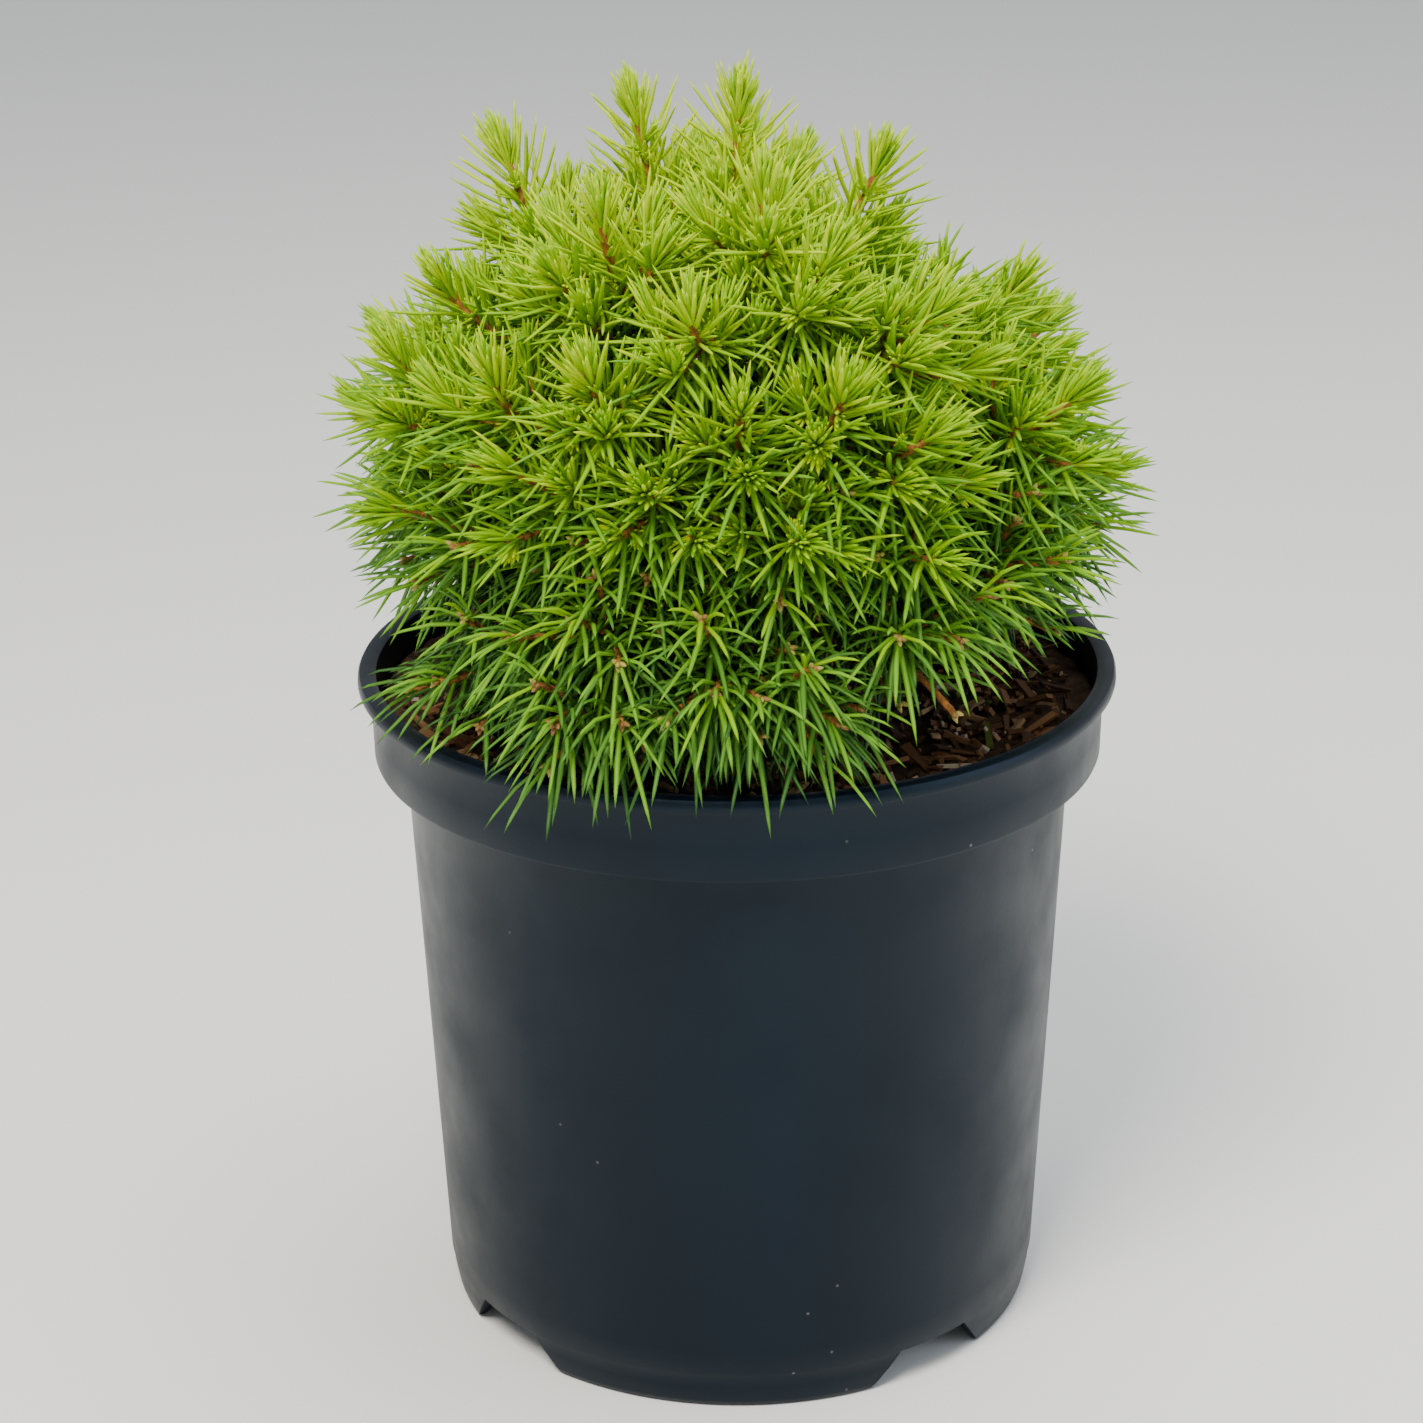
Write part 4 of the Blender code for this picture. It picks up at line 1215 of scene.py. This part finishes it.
def shoot_needles(shoot, rng, settings):
    """The needles of one shoot, set round it in a spiral. Those near its tip are shorter, stand
    closer to its line and are younger."""
    limb = shoot.limb
    bare = 1.0 - shoot.needled / limb.length()
    count = int(shoot.needled / settings.needle_pitch)
    shade = 1.0 - clamp(shoot.lightness * 1.5)
    turn = rng.uniform(0.0, 2 * math.pi)
    across = limb.tip_way.orthogonal()
    found = []
    for k in range(count):
        part = (k + rng.random()) / count
        share = mix(bare, 1.0, part)
        point, way = limb.at(share)
        side = (across - way * across.dot(way)).normalized()
        roll = turn + k * GOLDEN_ANGLE
        out = side * math.cos(roll) + way.cross(side) * math.sin(roll)
        near_tip = max(0.0, (part - TIP_START) / TIP_PART)
        lean = mix(mix(*FOOT_LEAN, shade), mix(*END_LEAN, shade), part)
        lean = mix(lean, mix(*TIP_LEAN, shade), near_tip**1.3) + rng.uniform(-8.0, 8.0)
        heading = leaning(way, out, lean)
        size = settings.needle_length * rng.uniform(0.86, 1.1)
        size *= mix(FOOT_SIZE, 1.0, min(1.0, part * 4))
        size *= mix(1.0, mix(*TIP_SIZE, shade), near_tip)
        pull = way * rng.uniform(0.1, 0.26) - UP * (mix(*SAG, shade) + shoot.droop)
        # The tone paints the shoot's light and shade into the needle's colour, a little paler
        # towards the shoot's end
        light = shoot.lightness + rng.gauss(0.0, 0.06) + 0.12 * (part - 0.5)
        # Needles that face up get a paler tone: painted light from above
        light += 0.1 * max(0.0, heading.z)
        light += mix(*TIP_YOUTH, shade) * near_tip
        tone = min(TIP_TONE, max(0, int(mix(*TONES_BY_LIGHT, light))))
        root = point + out * (limb.radius(share) * 0.6)
        width = settings.needle_width * rng.uniform(0.88, 1.1)
        found.append(Needle(root, heading, size, width, pull, tone))
    return found


def flush_needles(shoot, rng, settings):
    """The tuft of short young needles at the tip of a shoot in full light."""
    limb = shoot.limb
    across = limb.tip_way.orthogonal().normalized()
    turn = rng.uniform(0.0, 2 * math.pi)
    found = []
    count = int(mix(*FLUSH_COUNTS, shoot.lightness))
    for k in range(count):
        part = (k + 0.5) / count
        out = Matrix.Rotation(turn + k * GOLDEN_ANGLE, 3, limb.tip_way) @ across
        heading = leaning(limb.tip_way, out, mix(34.0, 3.0, part) + rng.uniform(-4.0, 4.0))
        size = settings.needle_length * rng.uniform(0.42, 0.62)
        root = limb.tip + limb.tip_way * (mix(-3.0, 1.2, part) * MM)
        # Tufts in more light get paler tones: partly painted light, partly the young flush's own
        # colour
        young = rng.random() < 1.4 * shoot.lightness - 0.55
        tone = TIP_TONE - (1 if young else 2) + (rng.random() < 0.9 * shoot.lightness - 0.3)
        width = settings.needle_width * 0.95
        found.append(Needle(root, heading, size, width, limb.tip_way * 0.12, tone))
    return found


def tuft_needles(shoot, rng, settings):
    """Small bright tufts where buds open along the upper part of a shoot."""
    limb = shoot.limb
    across = limb.tip_way.orthogonal().normalized()
    found = []
    for _ in range(rng.randint(*TUFT_COUNTS)):
        share = rng.uniform(0.62, 0.97)
        point, way = limb.at(share)
        side = Matrix.Rotation(rng.uniform(0.0, 2 * math.pi), 3, way) @ across
        side = (side - way * side.dot(way)).normalized()
        axis = (way * 0.8 + side).normalized()
        round_axis = axis.orthogonal().normalized()
        for k in range(TUFT_NEEDLES):
            out = Matrix.Rotation(k * GOLDEN_ANGLE, 3, axis) @ round_axis
            heading = leaning(axis, out, rng.uniform(4.0, 30.0))
            root = point + side * (limb.radius(share) * 0.8)
            size = rng.uniform(3.4, 5.6) * MM
            tone = TIP_TONE - (rng.random() < 0.4)
            width = settings.needle_width * 0.85
            found.append(Needle(root, heading, size, width, axis * 0.1, tone))
    return found


def crown_needles(shoots, space, settings):
    """Every needle of the crown that keeps clear of the wood, the soil and the pot."""
    rng = random.Random(settings.seed)
    needles = []
    for shoot in shoots:
        needles += shoot_needles(shoot, rng, settings)
        if shoot.lightness > FLUSH_LIGHT:
            needles += flush_needles(shoot, rng, settings)
        if shoot.lightness > TUFT_LIGHT and shoot.kind != "finer":
            needles += tuft_needles(shoot, rng, settings)
    return clear_needles(needles, space)


def over_bare_soil(points):
    """Whether points lie low over the front right, where the soil shows."""
    heading = np.degrees(np.arctan2(points[:, 0], -points[:, 1]))
    low = points[:, 2] < BARE_HEIGHT
    return low & (heading > BARE_HEADINGS[0]) & (heading < BARE_HEADINGS[1])


def clear_needles(needles, space):
    """The needles whose outer halves keep clear of the limbs, the soil and the pot."""
    kept = []
    for first in range(0, len(needles), 400):
        group = needles[first : first + 400]
        fit = np.ones(len(group), dtype=bool)
        for share in (0.5, 0.75, 1.0):
            points = rows_of(
                n.root + (n.way * share + n.bend * share * share) * n.length for n in group
            )
            fit &= space.clear_of_pot(points, GAP) & space.clear_of_wood(points, 0.0)
            fit &= ~over_bare_soil(points)
        kept += [needle for needle, good in zip(group, fit) if good]
    return kept


def unit(rows):
    return rows / np.linalg.norm(rows, axis=1, keepdims=True)


def needle_arrays(needles):
    """Points, quads and triangles of many curved, pointed needles of four faces."""
    root, way, bend = (rows_of(getattr(n, end) for n in needles) for end in ("root", "way", "bend"))
    length, width = np.array([(n.length, n.width) for n in needles]).T[:, :, None]
    upright = np.abs(way[:, 2:]) >= 0.9
    aside = np.where(upright, np.array([[1.0, 0.0, 0.0]]), np.array([[0.0, 0.0, 1.0]]))
    blocks = []
    for share, girth in NEEDLE_STEPS:
        centre = root + (way * share + bend * share * share) * length
        line = unit(way + bend * (2 * share))
        flat = unit(np.cross(line, aside))
        deep = np.cross(line, flat)
        for k in range(NEEDLE_SIDES):
            angle = 2 * math.pi * k / NEEDLE_SIDES
            offset = flat * math.cos(angle) + deep * (math.sin(angle) * NEEDLE_DEPTH)
            blocks.append(centre + offset * (width * girth / 2))
    blocks.append(root + (way + bend) * length)
    points = np.stack(blocks, axis=1)
    per = points.shape[1]
    base = (np.arange(len(needles)) * per)[:, None, None]
    quads = []
    for row in range(len(NEEDLE_STEPS) - 1):
        for k in range(NEEDLE_SIDES):
            low, high = row * NEEDLE_SIDES, (row + 1) * NEEDLE_SIDES
            after = (k + 1) % NEEDLE_SIDES
            quads.append((low + k, high + k, high + after, low + after))
    last = (len(NEEDLE_STEPS) - 1) * NEEDLE_SIDES
    triangles = [(last + k, per - 1, last + (k + 1) % NEEDLE_SIDES) for k in range(NEEDLE_SIDES)]
    quads = (np.array(quads)[None] + base).reshape(-1, 4)
    triangles = (np.array(triangles)[None] + base).reshape(-1, 3)
    return points.reshape(-1, 3), quads, triangles


# Along a bud: the share of its length and its share of the full width
BUD_STEPS = ((0.0, 0.55), (0.3, 1.0), (0.65, 0.75), (1.0, 0.12))
BUD_RADIUS = 0.62 * MM
BUDS_AT_A_TIP = 4


def bud_arrays(shoots, rng):
    """Points, quads and tones of small pointed buds in a cluster at each shoot's tip."""
    points, quads, tones = [], [], []
    for shoot in shoots:
        limb = shoot.limb
        across = limb.tip_way.orthogonal().normalized()
        for k in range(BUDS_AT_A_TIP):
            out = Matrix.Rotation(k * GOLDEN_ANGLE, 3, limb.tip_way) @ across
            axis = (limb.tip_way + out * (0.75 if k else 0.0)).normalized()
            start = limb.tip + out * (0.5 * MM if k else 0.0)
            size = rng.uniform(1.5, 2.3) * MM
            rings = [Ring(start + axis * (size * a), axis, BUD_RADIUS * b) for a, b in BUD_STEPS]
            spots, sides = tube_arrays(rings, 6)
            quads += [tuple(corner + len(points) for corner in quad) for quad in sides]
            tones += [rng.randrange(2)] * len(sides)
            points += spots
    return rows_of(points), np.array(quads), np.array(tones)


# Operators


class SPRUCE_OT_pot(bpy.types.Operator):
    """Make the round nursery pot with its band, lip, feet and drain holes"""

    bl_idname = "spruce.pot"
    bl_label = "Pot"

    def execute(self, context):
        settings = context.scene.spruce_pot
        profile = pot_profile(settings.height, settings.lip_radius)
        mesh = turned("pot_blank", profile, settings.sides)
        step = 360.0 / FOOT_COUNT
        cutters = [notch_cutter(FOOT_HEADING + step * (k + 0.5)) for k in range(FOOT_COUNT)]
        step = 360.0 / DRAIN_COUNT
        cutters += [drain_cutter(FOOT_HEADING + step * k) for k in range(DRAIN_COUNT)]
        shell = cut_mesh(mesh, cutters)
        shell.name = "pot_shell"
        shell.materials.clear()
        shell.materials.append(plastic_material(settings))
        shell.shade_smooth()
        shell.set_sharp_from_angle(angle=math.radians(38))
        add_piece("pot_shell", shell, ["pot"])
        return {"FINISHED"}


class SPRUCE_OT_soil(bpy.types.Operator):
    """Fill the pot with compost and strew bark chips and crumbs on it"""

    bl_idname = "spruce.soil"
    bl_label = "Soil and bark chips"

    def execute(self, context):
        settings = context.scene.spruce_soil
        mesh = soil_mesh()
        mesh.materials.append(compost_material(settings))
        mesh.shade_smooth()
        add_piece("soil_compost", mesh, ["soil"])
        tones = [
            plain_material(f"bark_chip_{k}", colour, 0.85, 0.3)
            for k, (colour, _) in enumerate(CHIP_TONES)
        ]
        rng = random.Random(5)
        for name, count, sliver in (
            ("bark_chips", settings.chips, CHIP),
            ("peat_crumbs", settings.crumbs, CRUMB),
        ):
            points, quads, shades = scatter_on_soil(count, rng, sliver)
            mesh = mesh_of_arrays(name, points, (quads,), tones, shades)
            mesh.shade_flat()
            add_piece(name, mesh, [])
        return {"FINISHED"}


class SPRUCE_OT_wood(bpy.types.Operator):
    """Make the trunk and the boughs with the bark's relief"""

    bl_idname = "spruce.wood"
    bl_label = "Trunk and boughs"

    def execute(self, context):
        bark = bark_material("brown_bark_rough", context.scene.spruce_crown.bark, 420.0)
        rings = []
        for k in range(TRUNK_ROWS):
            height = mix(SOIL_TOP + GAP, TRUNK_TOP, (k / (TRUNK_ROWS - 1)) ** 1.2)
            rings.append(Ring(trunk_point(height), UP, trunk_radius(height)))
        points, faces = capped_tubes([rings], TRUNK_SIDES, trunk_relief)
        trunk = mesh_of("trunk_bark", points, faces, bark)
        add_piece("trunk_bark", trunk, ["trunk"])
        limbs = [make_bough_limb(name).rings(BOUGH_ROWS) for name in BOUGHS]
        points, faces = capped_tubes(limbs, BOUGH_SIDES, bough_relief)
        boughs = mesh_of("boughs_bark", points, faces, bark)
        add_piece("boughs_bark", boughs, list(BOUGHS))
        return {"FINISHED"}


class SPRUCE_OT_shoots(bpy.types.Operator):
    """Grow the twigs, buds and needles of the crown"""

    bl_idname = "spruce.shoots"
    bl_label = "Twigs, buds and needles"

    def execute(self, context):
        settings = context.scene.spruce_crown
        masses = [mass.name for mass in MASSES]
        space, shoots = grow_shoots()
        self.add_twigs(shoots, settings, masses)
        self.add_buds(shoots)
        self.add_needles(crown_needles(shoots, space, settings), masses)
        return {"FINISHED"}

    def add_twigs(self, shoots, settings, masses):
        limbs = [shoot.limb.rings(TWIG_ROWS[shoot.kind]) for shoot in shoots]
        points, faces = capped_tubes(limbs, TWIG_SIDES, twig_pegs)
        bark = bark_material("red_brown_twig", settings.twig, 700.0)
        add_piece("twigs", mesh_of("twigs", points, faces, bark), masses)

    def add_buds(self, shoots):
        tones = [
            plain_material("bud_scale_tan", (0.3, 0.15, 0.045), 0.6),
            plain_material("bud_scale_pale", (0.42, 0.34, 0.07), 0.6),
        ]
        points, quads, shades = bud_arrays(shoots, random.Random(11))
        mesh = mesh_of_arrays("buds", points, (quads,), tones, shades)
        add_piece("buds", mesh, [])

    def add_needles(self, needles, masses):
        """One piece for each tone, or more where a tone has too many faces for one."""
        for tone, colour in enumerate(NEEDLE_TONES):
            glint = mix(0.32, 0.06, tone / TIP_TONE)
            material = plain_material(f"needle_tone_{tone}", colour, 0.46, glint)
            mine = [needle for needle in needles if needle.tone == tone]
            for part, first in enumerate(range(0, len(mine), MOST_NEEDLES)):
                points, quads, triangles = needle_arrays(mine[first : first + MOST_NEEDLES])
                shades = np.zeros(len(quads) + len(triangles), dtype=int)
                name = f"needles_tone_{tone}_{part}"
                mesh = mesh_of_arrays(name, points, (quads, triangles), [material], shades)
                add_piece(name, mesh, masses)


SKY_COLOUR = (0.93, 0.96, 1.0, 1.0)
SKY_STRENGTH = 0.6
FLOOR_REACH = 25.0
LOOK_AT = Vector((0.0, 0.0, 0.15))

# Each lamp: its name, place, size in metres, power in watts and colour
LAMPS = (
    ("key_light", (-0.3, -0.7, 1.2), 0.5, 23.0, (1.0, 0.95, 0.84)),
    ("top_light", (0.25, 0.25, 1.3), 0.9, 9.0, (1.0, 0.99, 0.95)),
    ("side_light", (1.1, -0.35, 0.45), 0.8, 5.0, (0.75, 0.86, 1.0)),
)


class SPRUCE_OT_stage(bpy.types.Operator):
    """Set the floor, the lights and the camera"""

    bl_idname = "spruce.stage"
    bl_label = "Stage"

    def execute(self, context):
        settings = context.scene.spruce_stage
        self.add_floor()
        world = bpy.data.worlds.new("studio")
        world.use_nodes = True
        sky = {"Color": SKY_COLOUR, "Strength": SKY_STRENGTH}
        set_values(world.node_tree.nodes["Background"], sky)
        context.scene.world = world
        for name, spot, size, power, colour in LAMPS:
            self.add_lamp(name, Vector(spot), size, power, colour)
        self.add_camera(context, settings)
        return {"FINISHED"}

    def add_floor(self):
        signs = ((-1, -1), (1, -1), (1, 1), (-1, 1))
        corners = [(x * FLOOR_REACH, y * FLOOR_REACH, 0.0) for x, y in signs]
        mesh = mesh_of("floor", corners, [(0, 1, 2, 3)])
        mesh.materials.append(plain_material("pale_floor", (0.86, 0.86, 0.85), 0.9, 0.1))
        floor = bpy.data.objects.new("floor", mesh)
        floor.location.z = -0.05 * MM
        bpy.context.scene.collection.objects.link(floor)

    def add_lamp(self, name, spot, size, power, colour):
        lamp = bpy.data.lights.new(name, "AREA")
        lamp.size = size
        lamp.energy = power
        lamp.color = colour
        thing = bpy.data.objects.new(name, lamp)
        thing.location = spot
        thing.rotation_euler = (LOOK_AT - spot).to_track_quat("-Z", "Y").to_euler()
        bpy.context.scene.collection.objects.link(thing)

    def add_camera(self, context, settings):
        pitch, yaw, roll = settings.camera_pitch, settings.camera_yaw, settings.camera_roll
        lens = bpy.data.cameras.new("camera")
        lens.sensor_width = 36.0
        lens.lens = settings.lens
        lens.clip_start = 0.01
        lens.clip_end = 30.0
        camera = bpy.data.objects.new("camera", lens)
        turn = Matrix.Rotation(yaw, 4, "Z") @ Matrix.Rotation(math.pi / 2 - pitch, 4, "X")
        place_of_camera = Vector((0.0, -settings.camera_distance, settings.camera_height))
        spot = Matrix.Translation(POT_AXIS + place_of_camera)
        camera.matrix_world = spot @ turn @ Matrix.Rotation(roll, 4, "Z")
        context.scene.collection.objects.link(camera)
        context.scene.camera = camera


class SPRUCE_PT_panel(bpy.types.Panel):
    """The steps that build the potted spruce"""

    bl_idname = "SPRUCE_PT_panel"
    bl_label = "Potted globe spruce"
    bl_space_type = "VIEW_3D"
    bl_region_type = "UI"
    bl_category = "Spruce"

    def draw(self, context):
        for group, operators in STEPS:
            box = self.layout.box()
            settings = getattr(context.scene, group)
            for name in settings.__annotations__:
                box.prop(settings, name)
            for operator in operators:
                box.operator(operator.bl_idname)


STEPS = (
    ("spruce_pot", (SPRUCE_OT_pot,)),
    ("spruce_soil", (SPRUCE_OT_soil,)),
    ("spruce_crown", (SPRUCE_OT_wood, SPRUCE_OT_shoots)),
    ("spruce_stage", (SPRUCE_OT_stage,)),
)
GROUPS = {
    "spruce_pot": PotSettings,
    "spruce_soil": SoilSettings,
    "spruce_crown": CrownSettings,
    "spruce_stage": StageSettings,
}
CLASSES = (
    *GROUPS.values(),
    SPRUCE_OT_pot,
    SPRUCE_OT_soil,
    SPRUCE_OT_wood,
    SPRUCE_OT_shoots,
    SPRUCE_OT_stage,
    SPRUCE_PT_panel,
)


def register():
    for thing in CLASSES:
        bpy.utils.register_class(thing)
    for name, group in GROUPS.items():
        setattr(bpy.types.Scene, name, PointerProperty(type=group))


def unregister():
    for name in GROUPS:
        delattr(bpy.types.Scene, name)
    for thing in reversed(CLASSES):
        bpy.utils.unregister_class(thing)


def main():
    register()
    bpy.ops.spruce.pot()
    bpy.ops.spruce.soil()
    bpy.ops.spruce.wood()
    bpy.ops.spruce.shoots()
    bpy.ops.spruce.stage()


if __name__ == "__main__":
    main()
